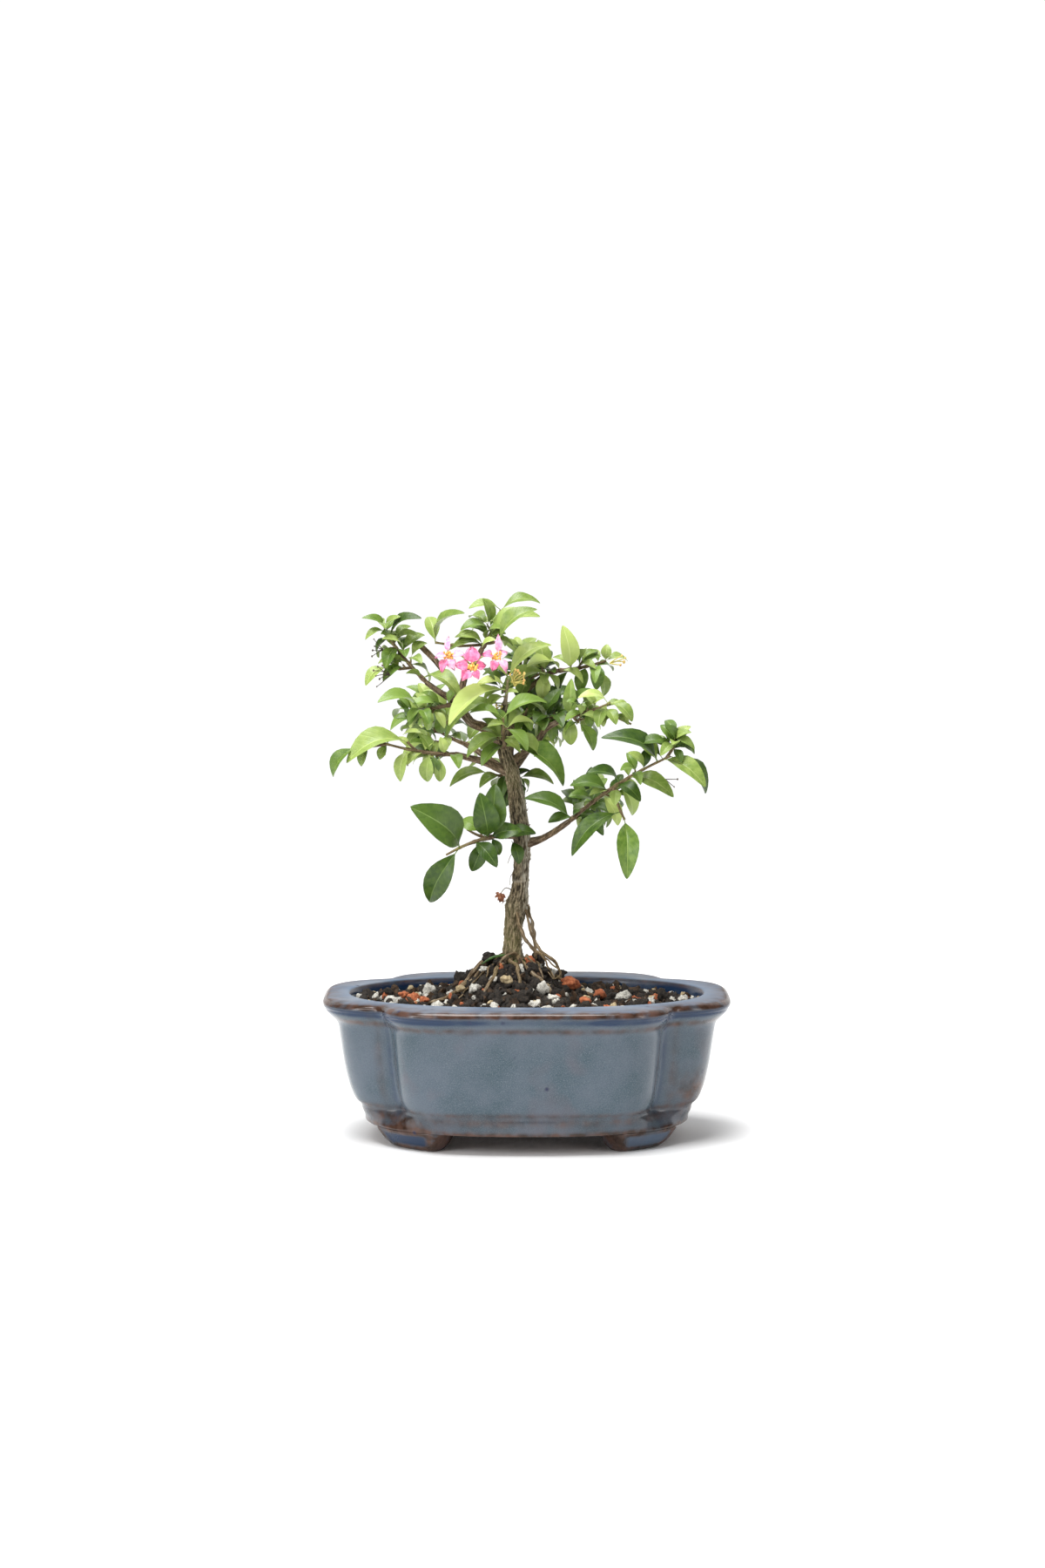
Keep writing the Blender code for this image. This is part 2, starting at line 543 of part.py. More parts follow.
def leaf_rows(rows, rng):
    """Leaf directions from rows of leans: each pair leans to and from the front by chance."""
    leaves = []
    for place, lean_a, length_a, lean_b, length_b in rows:
        outs = (rng.uniform(0, 40), rng.uniform(-38, 12))
        for lean, length, out in ((lean_a, length_a, outs[0]), (lean_b, length_b, outs[1])):
            if length:
                turn, forward = math.radians(lean), math.radians(out)
                way = Vector((math.cos(turn) * math.cos(forward), -math.sin(forward),
                              math.sin(turn) * math.cos(forward)))
                leaves.append((place, way, length / math.cos(forward)))
    return leaves


def seeded_shoots(stem, fill, rng):
    """Shoots that leave the stem by turns on its two sides, each with crossed pairs of leaves."""
    count, shoot_length, leaf_length = fill
    heading, rise = stem[:2]
    shoots = []
    for index in range(count):
        side = 1 if index % 2 else -1
        place = 0.15 + 0.85 * index / max(count - 1, 1)
        turn = heading + side * rng.uniform(30, 75) * (1.2 - place)
        lift = rise + rng.uniform(-25, 45)
        reach = shoot_length * rng.uniform(0.75, 1.2)
        shoots.append((place, turn, lift, reach, rng.uniform(0, 90), leaf_length))
    return shoots


def crossed_pairs(axis, roll, leaf_length, rng, pairs=3):
    """Opposite leaves on a seeded shoot, each pair turned a quarter from the last."""
    flat = axis.cross(Vector((0, 0, 1))).normalized()
    leaves = []
    for pair in range(pairs):
        turn = math.radians(roll + 90 * pair)
        side = flat * math.cos(turn) + axis.cross(flat) * math.sin(turn)
        spread = math.radians(62 - 20 * pair / max(pairs - 1, 1))
        for sign in (-1, 1):
            way = axis * math.cos(spread) + side * (sign * math.sin(spread)) + Vector((0, 0, -0.12))
            length = leaf_length * rng.uniform(0.8, 1.15)
            leaves.append(((pair + 1) / pairs, way.normalized(), length))
    return leaves


def mesh_entry(mesh):
    """A limb's tree and bounds, as the crossing test wants them."""
    shape = ([v.co.copy() for v in mesh.vertices], [tuple(p.vertices) for p in mesh.polygons])
    return entry(shape, "limb")


def clear_start(path, template, limbs):
    """The path, its start drawn back along its first step until it stands clear of the limbs."""
    (start, radius), (after, next_radius) = path[:2]
    way = (after - start).normalized()
    while (after - start).length > TRIM_STEP:
        shape = twig_shape(template, start - way * CLEAR, after, radius + CLEAR, next_radius + CLEAR)
        if not meets(shape, limbs):
            return [(start, radius)] + path[1:]
        start = start + way * TRIM_STEP
    return clear_start(path[1:], template, limbs)


def primitive_cone(sides):
    return primitive_shape(bmesh.ops.create_cone, cap_ends=True, segments=sides, radius1=1.0,
                           radius2=1.0, depth=2.0)


class Growth:
    """Grows the masses in turn, and remembers what is already there."""

    def __init__(self, limb_meshes):
        self.leaf = primitive_shape(bmesh.ops.create_uvsphere, u_segments=3, v_segments=3,
                                    radius=2 / math.sqrt(3))
        self.twig = primitive_cone(3)
        self.limbs = [mesh_entry(mesh) for mesh in limb_meshes]
        self.taken = []

    def start_of(self, on):
        """Where a mass's stem starts, and the limb's radius there."""
        if isinstance(on, str):
            path = TRUNK if on == "trunk" else LIMBS[on]
            return Vector(path[-1][:3])
        limb, z, heading = on
        path = smooth_path(TRUNK if limb == "trunk" else LIMBS[limb])
        spot, radius = min(path, key=lambda row: abs(row[0].z - z))
        return spot + heading_vector(heading, 0) * radius

    def add_twigs(self, name, spots, radii, pieces):
        """Twigs along a shoot, up to the first that would touch a limb or another mass."""
        kept = [spots[0]]
        is_stem = not pieces
        for index, (start, end) in enumerate(zip(spots, spots[1:])):
            shape = twig_shape(self.twig, start, end, radii[index] + CLEAR, radii[index + 1] + CLEAR)
            others = [row for row in self.taken if row[2] != name]
            limbs = [] if is_stem and index == 0 else self.limbs
            if meets(shape, limbs + others):
                break
            thin = twig_shape(self.twig, start, end, radii[index], radii[index + 1])
            pieces.append(thin)
            self.taken.append(entry(thin, name))
            kept.append(end)
        return kept

    def add_leaf(self, name, base, way, length, rng, pieces):
        """One leaf. Where its room is taken it leans to the front or back, and then is skipped."""
        facing = LIGHT + Vector((rng.uniform(-0.3, 0.3), rng.uniform(-0.2, 0.2), 0.0))
        width = (0.34 * length + 2.2) * rng.uniform(0.86, 1.16)
        fold = LEAF_FOLD * rng.uniform(0.4, 1.4)
        own = [row for row in self.taken if row[2] == name]
        strangers = self.limbs + [row for row in self.taken if row[2] != name]
        for lean in LEAF_LEANS:
            turned = (way + Vector((0.0, lean, 0.0))).normalized()
            whole = leaf_shape(self.leaf, base, turned, facing, length, width, fold, extra=2 * CLEAR)
            blade = leaf_shape(self.leaf, base + turned * LEAF_NECK, turned, facing,
                               length - LEAF_NECK, width * 0.96, fold, extra=2 * CLEAR, root=0.0)
            if meets(blade, own) or meets(whole, strangers):
                continue
            shape = leaf_shape(self.leaf, base, turned, facing, length, width, fold)
            pieces.append(shape)
            self.taken.append(entry(shape, name))
            return

    def grow(self, name, spec):
        """All pieces of one mass: its stem, its shoots and their leaves."""
        rng = random.Random(spec["seed"])
        pieces = []
        spots = shoot_points(self.start_of(spec["on"]), *spec["stem"][:3], STEM_STEPS,
                             *spec["stem"][3:])
        radii = [STEM_RADIUS + (TIP_RADIUS - STEM_RADIUS) * i / STEM_STEPS
                 for i in range(STEM_STEPS + 1)]
        path = clear_start(list(zip(spots, radii)), self.twig, self.limbs)
        spots, radii = [row[0] for row in path], [row[1] for row in path]
        stem = self.add_twigs(name, spots, radii, pieces)
        leaves = [(place_on(stem, row[0])[0], row[1], row[2])
                  for row in leaf_rows(spec.get("leaves", ()), rng)]
        shoots = []
        for place, turn, lift, reach, rows in spec.get("shoots", ()):
            shoots.append((place, turn, lift, reach, leaf_rows(rows, rng)))
        if "fill" in spec:
            for place, turn, lift, reach, roll, size in seeded_shoots(spec["stem"], spec["fill"], rng):
                axis = heading_vector(turn, lift)
                shoots.append((place, turn, lift, reach, crossed_pairs(axis, roll, size, rng)))
        for place, turn, lift, reach, rows in shoots:
            start = place_on(stem, place)[0]
            twig = self.add_twigs(name, shoot_points(start, turn, lift, reach, 2),
                                  [SHOOT_RADIUS, (SHOOT_RADIUS + TIP_RADIUS) / 2, TIP_RADIUS], pieces)
            if len(twig) == 3:
                leaves += [(place_on(twig, row[0])[0], row[1], row[2]) for row in rows]
        for base, way, size in leaves:
            self.add_leaf(name, base, way, size, rng, pieces)
        return pieces


def fused_mesh(name, pieces):
    """One closed mesh from a mass's pieces, by a Boolean union on a collection of them."""
    pile = bpy.data.collections.new(name + "_pieces")
    bpy.context.scene.collection.children.link(pile)
    objects = []
    for index, (points, faces) in enumerate(pieces):
        mesh = bpy.data.meshes.new(name + "_piece")
        mesh.from_pydata(points, [], faces)
        objects.append(bpy.data.objects.new(f"{name}_piece_{index}", mesh))
    stem = objects[0]
    bpy.context.scene.collection.objects.link(stem)
    for item in objects[1:]:
        pile.objects.link(item)
    union = stem.modifiers.new("union", "BOOLEAN")
    union.operation = "UNION"
    union.operand_type = "COLLECTION"
    union.collection = pile
    union.solver = "MANIFOLD"
    bpy.context.view_layer.update()
    evaluated = stem.evaluated_get(bpy.context.evaluated_depsgraph_get())
    mesh = bpy.data.meshes.new_from_object(evaluated)
    for item in objects:
        bpy.data.objects.remove(item, do_unlink=True)
    bpy.data.collections.remove(pile)
    keep_largest_body(mesh)
    mesh.name = name
    return mesh


def keep_largest_body(mesh):
    """Drop loose scraps and sealed hollows: all but the piece with the most points."""
    shape = bmesh.new()
    shape.from_mesh(mesh)
    waiting = set(shape.verts)
    bodies = []
    while waiting:
        body = set()
        front = [waiting.pop()]
        while front:
            vertex = front.pop()
            body.add(vertex)
            for edge in vertex.link_edges:
                other = edge.other_vert(vertex)
                if other in waiting:
                    waiting.discard(other)
                    front.append(other)
        bodies.append(body)
    bodies.sort(key=len)
    scraps = [vertex for body in bodies[:-1] for vertex in body]
    bmesh.ops.delete(shape, geom=scraps, context="VERTS")
    shape.to_mesh(mesh)
    shape.free()


def build():
    clear_scene()
    parts = bpy.data.collections.new("barbados_cherry_bonsai")
    bpy.context.scene.collection.children.link(parts)
    glaze = material("glaze_blue", (0.16, 0.25, 0.33), 0.25)
    grit = material("grit", (0.09, 0.065, 0.05), 0.95)
    bark = material("bark", (0.27, 0.18, 0.12), 0.85)
    root_bark = material("root_bark", (0.42, 0.32, 0.20), 0.85)
    leaf = material("leaf", (0.13, 0.30, 0.05), 0.45)

    add_object("pot", pot_mesh(), glaze, parts)
    for side, side_name in ((-1, "left"), (1, "right")):
        for front, front_name in ((-1, "front"), (1, "rear")):
            name = f"foot_{front_name}_{side_name}"
            add_object(name, foot_mesh(name, side, front), glaze, parts)
    add_object("soil", soil_mesh(), grit, parts)

    round_twig = primitive_cone(LIMB_SIDES)
    limb_meshes = {"trunk": trunk_mesh()}
    standing = [mesh_entry(limb_meshes["trunk"])]
    for name, points in LIMBS.items():
        path = clear_start(smooth_path(points), round_twig, standing)
        limb_meshes[name] = limb_mesh(name, path)
        standing.append(mesh_entry(limb_meshes[name]))
    root_meshes = {}
    for name, points in PROP_ROOTS.items():
        path = clear_start(smooth_path(points), round_twig, standing)
        root_meshes[name] = limb_mesh(name, path)
    for name, points in SURFACE_ROOTS.items():
        path = clear_start(surface_root_path(points), round_twig, standing)
        root_meshes[name] = limb_mesh(name, path)

    growth = Growth(list(limb_meshes.values()))
    masses = {name: growth.grow(name, spec) for name, spec in MASSES.items()}
    for name, mesh in limb_meshes.items():
        add_object(name, mesh, bark, parts)
    for name, mesh in root_meshes.items():
        add_object(name, mesh, root_bark, parts)
    for name, pieces in masses.items():
        add_object(name, fused_mesh(name, pieces), leaf, parts)


build()
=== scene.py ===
"""Looks of the Barbados cherry bonsai: a small flowering tree in a glazed, lobed pot.

Sizes are in millimetres and meshes are written in metres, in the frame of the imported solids: the
origin is on the ground under the middle of the pot, +X is the plant's right, +Y its back, +Z up.
"""
import json
import math
import random

import bmesh
import bpy
from mathutils import Matrix, Vector, noise
from mathutils.bvhtree import BVHTree

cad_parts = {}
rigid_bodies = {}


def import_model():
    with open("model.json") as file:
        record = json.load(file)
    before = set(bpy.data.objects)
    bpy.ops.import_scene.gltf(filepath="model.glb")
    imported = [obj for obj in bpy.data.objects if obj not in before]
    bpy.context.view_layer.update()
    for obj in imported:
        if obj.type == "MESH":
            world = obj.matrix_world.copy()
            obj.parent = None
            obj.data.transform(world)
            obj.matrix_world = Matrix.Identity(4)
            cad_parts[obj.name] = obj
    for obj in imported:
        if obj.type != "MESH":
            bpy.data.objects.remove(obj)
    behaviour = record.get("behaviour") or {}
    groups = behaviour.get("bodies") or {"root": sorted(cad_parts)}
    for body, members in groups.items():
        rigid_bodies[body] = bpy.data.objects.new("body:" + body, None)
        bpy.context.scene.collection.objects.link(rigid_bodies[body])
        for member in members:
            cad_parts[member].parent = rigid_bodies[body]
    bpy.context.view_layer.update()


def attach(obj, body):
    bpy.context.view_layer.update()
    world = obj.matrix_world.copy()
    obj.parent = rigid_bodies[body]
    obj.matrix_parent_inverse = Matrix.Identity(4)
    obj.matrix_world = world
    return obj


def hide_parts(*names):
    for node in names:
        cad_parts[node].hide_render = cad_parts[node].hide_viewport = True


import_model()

# --------------------------------------------------------- pot
# A stoneware pot, 8 in long, pressed in a mould: two crossed oblongs with rounded notches where
# they meet, under one broad flange. Its slate blue glaze pools dark in the hollows, painted darker
# still as shade under the lip, in the notch creases and inside, and breaks to a pinkish brown on
# every edge. The flange's paler blue is partly a painted sheen.
MM = 0.001
POT_LONG = (101.6, 52.0, 4.0)       # half length, half depth and squareness of the end lobes
POT_BROAD = (73.5, 74.0, 4.6)       # the same for the front and back lobes
POT_MOUTH = (88.5, 54.0, 2.2)
POT_FOOT_OVAL = (81.0, 62.0, 2.4)
POT_FLOOR_Z = 16.0
BROAD_SHARE = 0.65                  # how much of the end lobes' taper the broad lobes take
NOTCH_FILLET = 4.5
END_STEPS = 44
FRONT_STEPS = 76
# outside, bottom to lip: height, taper of the end lobes, share of the oval base
POT_OUTSIDE = ((10, 20.9, 1), (10.9, 19.3, 1), (12.8, 18.2, 0.85), (14.8, 17.5, 0.6),
    (16.6, 17.7, 0.4), (18, 18.2, 0.22), (19.4, 17.6, 0.08), (21.2, 16, 0), (24.5, 14.3, 0),
    (30, 12.4, 0), (38, 10.6, 0), (46, 9.3, 0), (54, 8.2, 0), (58.4, 7.5, 0), (60.9, 6.4, 0),
    (62.8, 4.6, 0), (64.8, 2.6, 0), (66.4, 1.3, 0), (67.5, 0.9, 0), (68.2, 0.3, 0), (69.2, 0, 0),
    (70.3, 0.2, 0), (71.1, 0.8, 0), (71.7, 1.7, 0), (72.1, 2.9, 0), (72.3, 4.2, 0))
# inside, mouth to floor: height, how far the oval has drawn in, the lobes' taper there
POT_INSIDE = ((72.5, -1.6, -9), (72.3, -0.6, -9), (71.6, 0, -9), (69.5, 0.6, 0.4), (66.5, 1.2, 5),
    (60, 2, 9), (48, 4, 10), (30, 8, 14), (16, 17, 20))
POT_WALL = 5.5
SHOULDER_Z = 62.8                   # ridge under the collar, where the glaze breaks
# under the lip the pooled glaze is painted darker still, as shade
COLLAR_Z = 67.5                     # hollow under the lip, where the glaze pools
LIP_Z = 70.9
MOUTH_Z = 71.0
# the flange's paler blue is partly a painted sheen on its upward face
FLANGE_Z = 71.6                     # from here up the glaze is the flange's paler blue
PANEL_FOOT_Z = 20.4
BASE_COVE_Z = 16.5
BASE_EDGE_Z = 9.9
PANEL_MIDDLE_Z = 42.0
# brown patches outside: x and reach, height and reach, share
RUST_PATCHES = ((84.0, 9.0, 28.0, 9.0, 0.9), (-60.0, 16.0, 13.0, 4.0, 0.5))


def squared_oval(oval, angle, long_in=0.0, deep_in=0.0):
    """Distance from the middle to a squared oval, drawn in by the given amounts."""
    length, depth, power = oval
    across = abs(math.cos(angle)) / (length - long_in)
    along = abs(math.sin(angle)) / (depth - deep_in)
    return (across ** power + along ** power) ** (-1.0 / power)


def end_and_broad(angle, taper):
    """Radii of the two crossed oblongs at an angle."""
    side = taper * BROAD_SHARE
    return squared_oval(POT_LONG, angle, taper, side), squared_oval(POT_BROAD, angle, side, side)


def lobed_radius(angle, taper, oval_share):
    """Outer radius of the pot, its two oblongs run together over a fillet."""
    ends, broad = end_and_broad(angle, taper)
    near = max(NOTCH_FILLET - abs(ends - broad), 0.0) / NOTCH_FILLET
    lobes = max(ends, broad) + near * near * NOTCH_FILLET / 4
    return lobes * (1 - oval_share) + squared_oval(POT_FOOT_OVAL, angle) * oval_share


def notch_angle(taper):
    """Angle in the first quarter at which an end lobe meets the front lobe."""
    low, high = math.radians(10), math.radians(60)
    for _ in range(30):
        middle = (low + high) / 2
        ends, broad = end_and_broad(middle, taper)
        low, high = (middle, high) if ends > broad else (low, middle)
    return low


def column_angles(taper):
    """Angles of the pot's columns, one on each notch and closer together beside it."""
    notch = notch_angle(taper)
    corners = (-notch, notch, math.pi - notch, math.pi + notch, 2 * math.pi - notch)
    angles = []
    for index, steps in enumerate((END_STEPS, FRONT_STEPS, END_STEPS, FRONT_STEPS)):
        first, last = corners[index], corners[index + 1]
        for step in range(steps):
            even = step / steps
            eased = 0.5 - 0.5 * math.cos(math.pi * even)
            angles.append(first + (last - first) * (0.45 * even + 0.55 * eased))
    return angles


def smooth_rows(rows, steps):
    """Rows of numbers along a Catmull-Rom curve through the given ones."""
    rows = [tuple(2 * a - b for a, b in zip(rows[0], rows[1])), *rows,
            tuple(2 * a - b for a, b in zip(rows[-1], rows[-2]))]
    smooth = []
    for index in range(1, len(rows) - 2):
        for step in range(steps):
            t = step / steps
            smooth.append(tuple(
                0.5 * (2 * b + (c - a) * t + (2 * a - 5 * b + 4 * c - d) * t * t
                       + (3 * b - a - 3 * c + d) * t ** 3)
                for a, b, c, d in zip(*rows[index - 1:index + 3])))
    return smooth + [rows[-2]]


def ring(radius_at, angles, z):
    return [Vector((radius_at(a) * math.cos(a), radius_at(a) * math.sin(a), z)) for a in angles]


def lofted(rows):
    """Points and faces of a closed shape through rings of equal count, with fans at its ends."""
    count = len(rows[0])
    points = [spot for row in rows for spot in row]
    faces = []
    for level in range(len(rows) - 1):
        for step in range(count):
            a = level * count + step
            b = level * count + (step + 1) % count
            faces.append((a, b, b + count, a + count))
    for row, first, flip in ((rows[0], 0, True), (rows[-1], count * (len(rows) - 1), False)):
        hub = len(points)
        points.append(sum(row, Vector()) / count)
        for step in range(count):
            edge = (first + step, first + (step + 1) % count)
            faces.append((edge[1], edge[0], hub) if flip else (*edge, hub))
    return points, faces


def new_piece(name, points, faces, *finishes, marks=None):
    """A smooth-shaded object from points in millimetres, with one colour mark a point at most."""
    mesh = bpy.data.meshes.new(name)
    mesh.from_pydata([spot * MM for spot in points], [], faces)
    mesh.shade_smooth()
    if marks:
        layer = mesh.color_attributes.new("marks", "FLOAT_COLOR", "POINT")
        layer.data.foreach_set("color", [part for mark in marks for part in (*mark, 1.0)])
    for finish in finishes:
        mesh.materials.append(finish)
    item = bpy.data.objects.new(name, mesh)
    bpy.context.scene.collection.objects.link(item)
    return item


class Nodes:
    """A node tree being put together."""

    def __init__(self, tree):
        self.tree = tree

    def feed(self, socket, value):
        """Links a socket to another, or sets it to a number or a colour."""
        if hasattr(value, "is_linked"):
            self.tree.links.new(value, socket)
        elif isinstance(value, tuple) and len(value) == 3 and socket.type == "RGBA":
            socket.default_value = (*value, 1.0)
        else:
            socket.default_value = value

    def add(self, kind, feeds=None, **settings):
        """A new node's outputs; its inputs are fed by name or by number."""
        node = self.tree.nodes.new(kind)
        for setting, value in settings.items():
            setattr(node, setting, value)
        for key, value in (feeds or {}).items():
            self.feed(node.inputs[key], value)
        return node.outputs

    def math(self, operation, *parts, clamp=False):
        return self.add("ShaderNodeMath", dict(enumerate(parts)), operation=operation,
                        use_clamp=clamp)["Value"]


class Finish(Nodes):
    """A material being put together: its shader, and short calls for the nodes that feed it."""

    def __init__(self, name, colour, roughness, **constants):
        self.material = bpy.data.materials.new(name)
        self.material.use_nodes = True
        self.material.diffuse_color = (*colour, 1.0)
        super().__init__(self.material.node_tree)
        self.shader = self.tree.nodes["Principled BSDF"].inputs
        self.colour(colour)
        self.roughness(roughness)
        for socket, value in constants.items():
            self.feed(self.shader[socket.replace("_", " ")], value)
        self.place = self.add("ShaderNodeTexCoord")["Object"]

    def colour(self, value):
        self.feed(self.shader["Base Color"], value)

    def roughness(self, value):
        self.feed(self.shader["Roughness"], value)

    def noise(self, size, detail=3.0, stretch=(1.0, 1.0, 1.0)):
        """Noise whose features are about the given size in millimetres."""
        mapping = self.add("ShaderNodeMapping", {"Scale": stretch, "Vector": self.place})
        return self.add("ShaderNodeTexNoise", {"Scale": 1.0 / (size * MM), "Detail": detail,
                                               "Vector": mapping["Vector"]})["Fac"]

    def spots(self, spacing, size):
        """One in the middle of scattered round spots, nought between them."""
        cells = self.add("ShaderNodeTexVoronoi", {"Scale": 1.0 / (spacing * MM),
                                                  "Vector": self.place})
        return self.between(cells["Distance"], size / spacing, 0.3 * size / spacing)

    def between(self, value, low, high, to_low=0.0, to_high=1.0):
        """The value's place between two limits, clamped and mapped to two others."""
        return self.add("ShaderNodeMapRange", {"Value": value, "From Min": low, "From Max": high,
                                               "To Min": to_low, "To Max": to_high})["Result"]

    def mix(self, factor, first, second):
        return self.add("ShaderNodeMix", {"Factor": factor, 6: first, 7: second},
                        data_type="RGBA")[2]

    def patchy(self, size, low, high, first, second, detail=3.0):
        """Two colours in patches of about the given size."""
        return self.mix(self.between(self.noise(size, detail), low, high), first, second)

    def attribute(self, name):
        return self.add("ShaderNodeAttribute", attribute_name=name)

    def marks(self):
        """The three parts of a piece's colour mark."""
        mark = self.attribute("marks")["Color"]
        return list(self.add("ShaderNodeSeparateColor", {"Color": mark}))

    def bump(self, height, depth, strength=1.0):
        """Relief of the given depth in millimetres."""
        relief = self.add("ShaderNodeBump", {"Height": height, "Distance": depth * MM,
                                             "Strength": strength})
        self.feed(self.shader["Normal"], relief["Normal"])


def glaze_finish():
    """Slate blue glaze; a mark's parts are brown breaks, dark pools deepened by painted shade, and the
    pale flange with a painted sheen.
    """
    glaze = Finish("slate_blue_glaze", (0.11, 0.15, 0.19), 0.2, Specular_IOR_Level=0.36)
    brown, pool_and_shade, pale = glaze.marks()
    cloud = glaze.noise(18.0, 4.0)
    body = glaze.mix(glaze.between(cloud, 0.34, 0.66), (0.038, 0.066, 0.087), (0.076, 0.098, 0.128))
    body = glaze.patchy(0.36, 0.46, 0.74, body, (0.108, 0.138, 0.163), 2.0)
    body = glaze.mix(glaze.between(glaze.noise(26.0, 2.0), 0.56, 0.7, 0.0, 0.4), body,
                     (0.11, 0.085, 0.1))
    # the flange's pale blue, partly a painted sheen; it also lightens the right feet's panels
    flange = glaze.mix(glaze.between(cloud, 0.36, 0.64), (0.085, 0.135, 0.215), (0.185, 0.215, 0.265))
    body = glaze.mix(pale, body, flange)
    wavy = glaze.between(glaze.noise(6.0), 0.34, 0.66, 0.6, 1.5)
    wavy_pool_and_shade = glaze.between(glaze.noise(9.0), 0.34, 0.66, 0.8, 1.4)
    # dark navy of pooled glaze, which also stands as painted shade under the lip, in the notches,
    # inside the pot and on the left feet
    body = glaze.mix(glaze.math("MULTIPLY", pool_and_shade, wavy_pool_and_shade, clamp=True), body, (0.006, 0.023, 0.062))
    thin = glaze.patchy(7.0, 0.38, 0.62, (0.028, 0.012, 0.006), (0.085, 0.044, 0.032))
    body = glaze.mix(glaze.math("MULTIPLY", brown, wavy, clamp=True), body, thin)
    glaze.colour(glaze.mix(glaze.spots(15.0, 1.5), body, (0.018, 0.022, 0.055)))
    glaze.roughness(glaze.math("ADD", glaze.between(cloud, 0.3, 0.7, 0.13, 0.25),
                               glaze.between(pale, 0.0, 1.0, 0.0, 0.35), clamp=True))
    glaze.bump(glaze.noise(2.4), 0.06, 0.5)
    return glaze.material


def hump(value, centre, width):
    return math.exp(-((value - centre) / width) ** 2)


def outside_mark(z, spot, notch_gap):
    """Brown, pooled-and-shaded and pale shares outside, from the height and the distance to the notch;
    the pooled share carries painted shade and the pale one a painted sheen.
    """
    crease = hump(notch_gap, 0.0, 2.0) * hump(z, PANEL_MIDDLE_Z + 1.0, 30.0)
    beside = hump(notch_gap, 6.0, 1.8) * hump(z, PANEL_MIDDLE_Z, 26.0)
    rust = sum(share * hump(spot.x, x, wide) * hump(z, height, tall)
               for x, wide, height, tall, share in RUST_PATCHES)
    brown = (1.4 * hump(z, LIP_Z, 1.35) + 0.6 * hump(z, SHOULDER_Z, 1.5)
             + 0.4 * hump(z, PANEL_FOOT_Z, 1.2) + 0.45 * hump(z, BASE_COVE_Z, 2.6) + 0.3 * beside
             + 1.1 * hump(z, BASE_EDGE_Z, 1.9) + rust)
    aside = min(abs(spot.x) / 42.0, 1.0) ** 2
    # darkest under the lip, more so towards the ends, and in the notch creases: pooled glaze with
    # painted shade
    pool_and_shade = 1.6 * hump(z, COLLAR_Z, 1.5) * (0.2 + 0.8 * aside) + 0.6 * crease
    # the pale share is the flange's blue, partly a painted sheen on its top
    return min(brown, 1.0), min(pool_and_shade, 1.0), 0.9 * max(0.0, min(1.0, (z - FLANGE_Z) / 0.4))


def pot_parts():
    """Points, faces and marks of the pot, from under its base over the lip to its floor."""
    rows, marks = [], []
    for z, taper, share in smooth_rows(POT_OUTSIDE, 3):
        angles = column_angles(taper)
        row = ring(lambda a: lobed_radius(a, taper, share), angles, z)
        notches = [abs(notch_angle(taper)), math.pi - notch_angle(taper)]
        for angle, spot in zip(angles, row):
            folded = abs((angle + math.pi) % (2 * math.pi) - math.pi)
            gap = min(abs(folded - notch) for notch in notches) * spot.length
            marks.append(outside_mark(z, spot, gap))
        rows.append(row)
    angles = column_angles(0.0)
    for z, inset, taper in POT_INSIDE:
        rows.append(ring(lambda a: min(squared_oval(POT_MOUTH, a, inset, inset),
                                       lobed_radius(a, taper, 0.0) - POT_WALL), angles, z))
        # inside, below the mouth, the walls and floor are painted dark as shade; above it the flange
        # is pale, partly a painted sheen
        flange = max(0.0, min(1.0, (z - MOUTH_Z) / 1.2))
        marks += [(0.6 * hump(z, FLANGE_Z, 0.4), 0.95 - 0.95 * flange, 0.9 * flange)] * len(angles)
    points, faces = lofted(rows)
    return points, faces, marks + [(1.0, 0.0, 0.0), (0.0, 0.9, 0.0)]


blue_glaze = glaze_finish()
pot_points, pot_faces, pot_marks = pot_parts()
pot = new_piece("pot_glazed", pot_points, pot_faces, blue_glaze, marks=pot_marks)
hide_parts("pot")
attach(pot, "root")

# -------------------------------------------------------- feet
# Four bracket feet, pressed with the pot and fired on to it, each a piece of a ring. A shallow
# panel in the outer face holds a pool of glaze, with a bare brown rim around it; the panels are
# painted darker as shade on the left feet and paler as a sheen on the right ones.
FOOT_SPAN = (19.0, 53.5)            # degrees from the pot's long axis
FOOT_WIDTH = 17.0
# height, inset of the faces, degrees by which the ends have drawn in
FOOT_LEVELS = ((0, 7.2, 7.4), (0.25, 6.6, 6.8), (1.6, 5, 5.4), (3.4, 3.4, 4.2), (5.2, 2.2, 3.4),
    (7.2, 1, 2.6), (9, 0.2, 1.6), (10.6, 0, 1))
FOOT_STEPS = 10
PANEL_DEPTH = 0.9
PANEL_HALF = 0.34                   # share of the foot's span to each side of its middle
PANEL_LOW, PANEL_HIGH = 2.5, 8.0
BARE_MARK = (1.0, 0.0, 0.0)         # brown clay with no pool of glaze


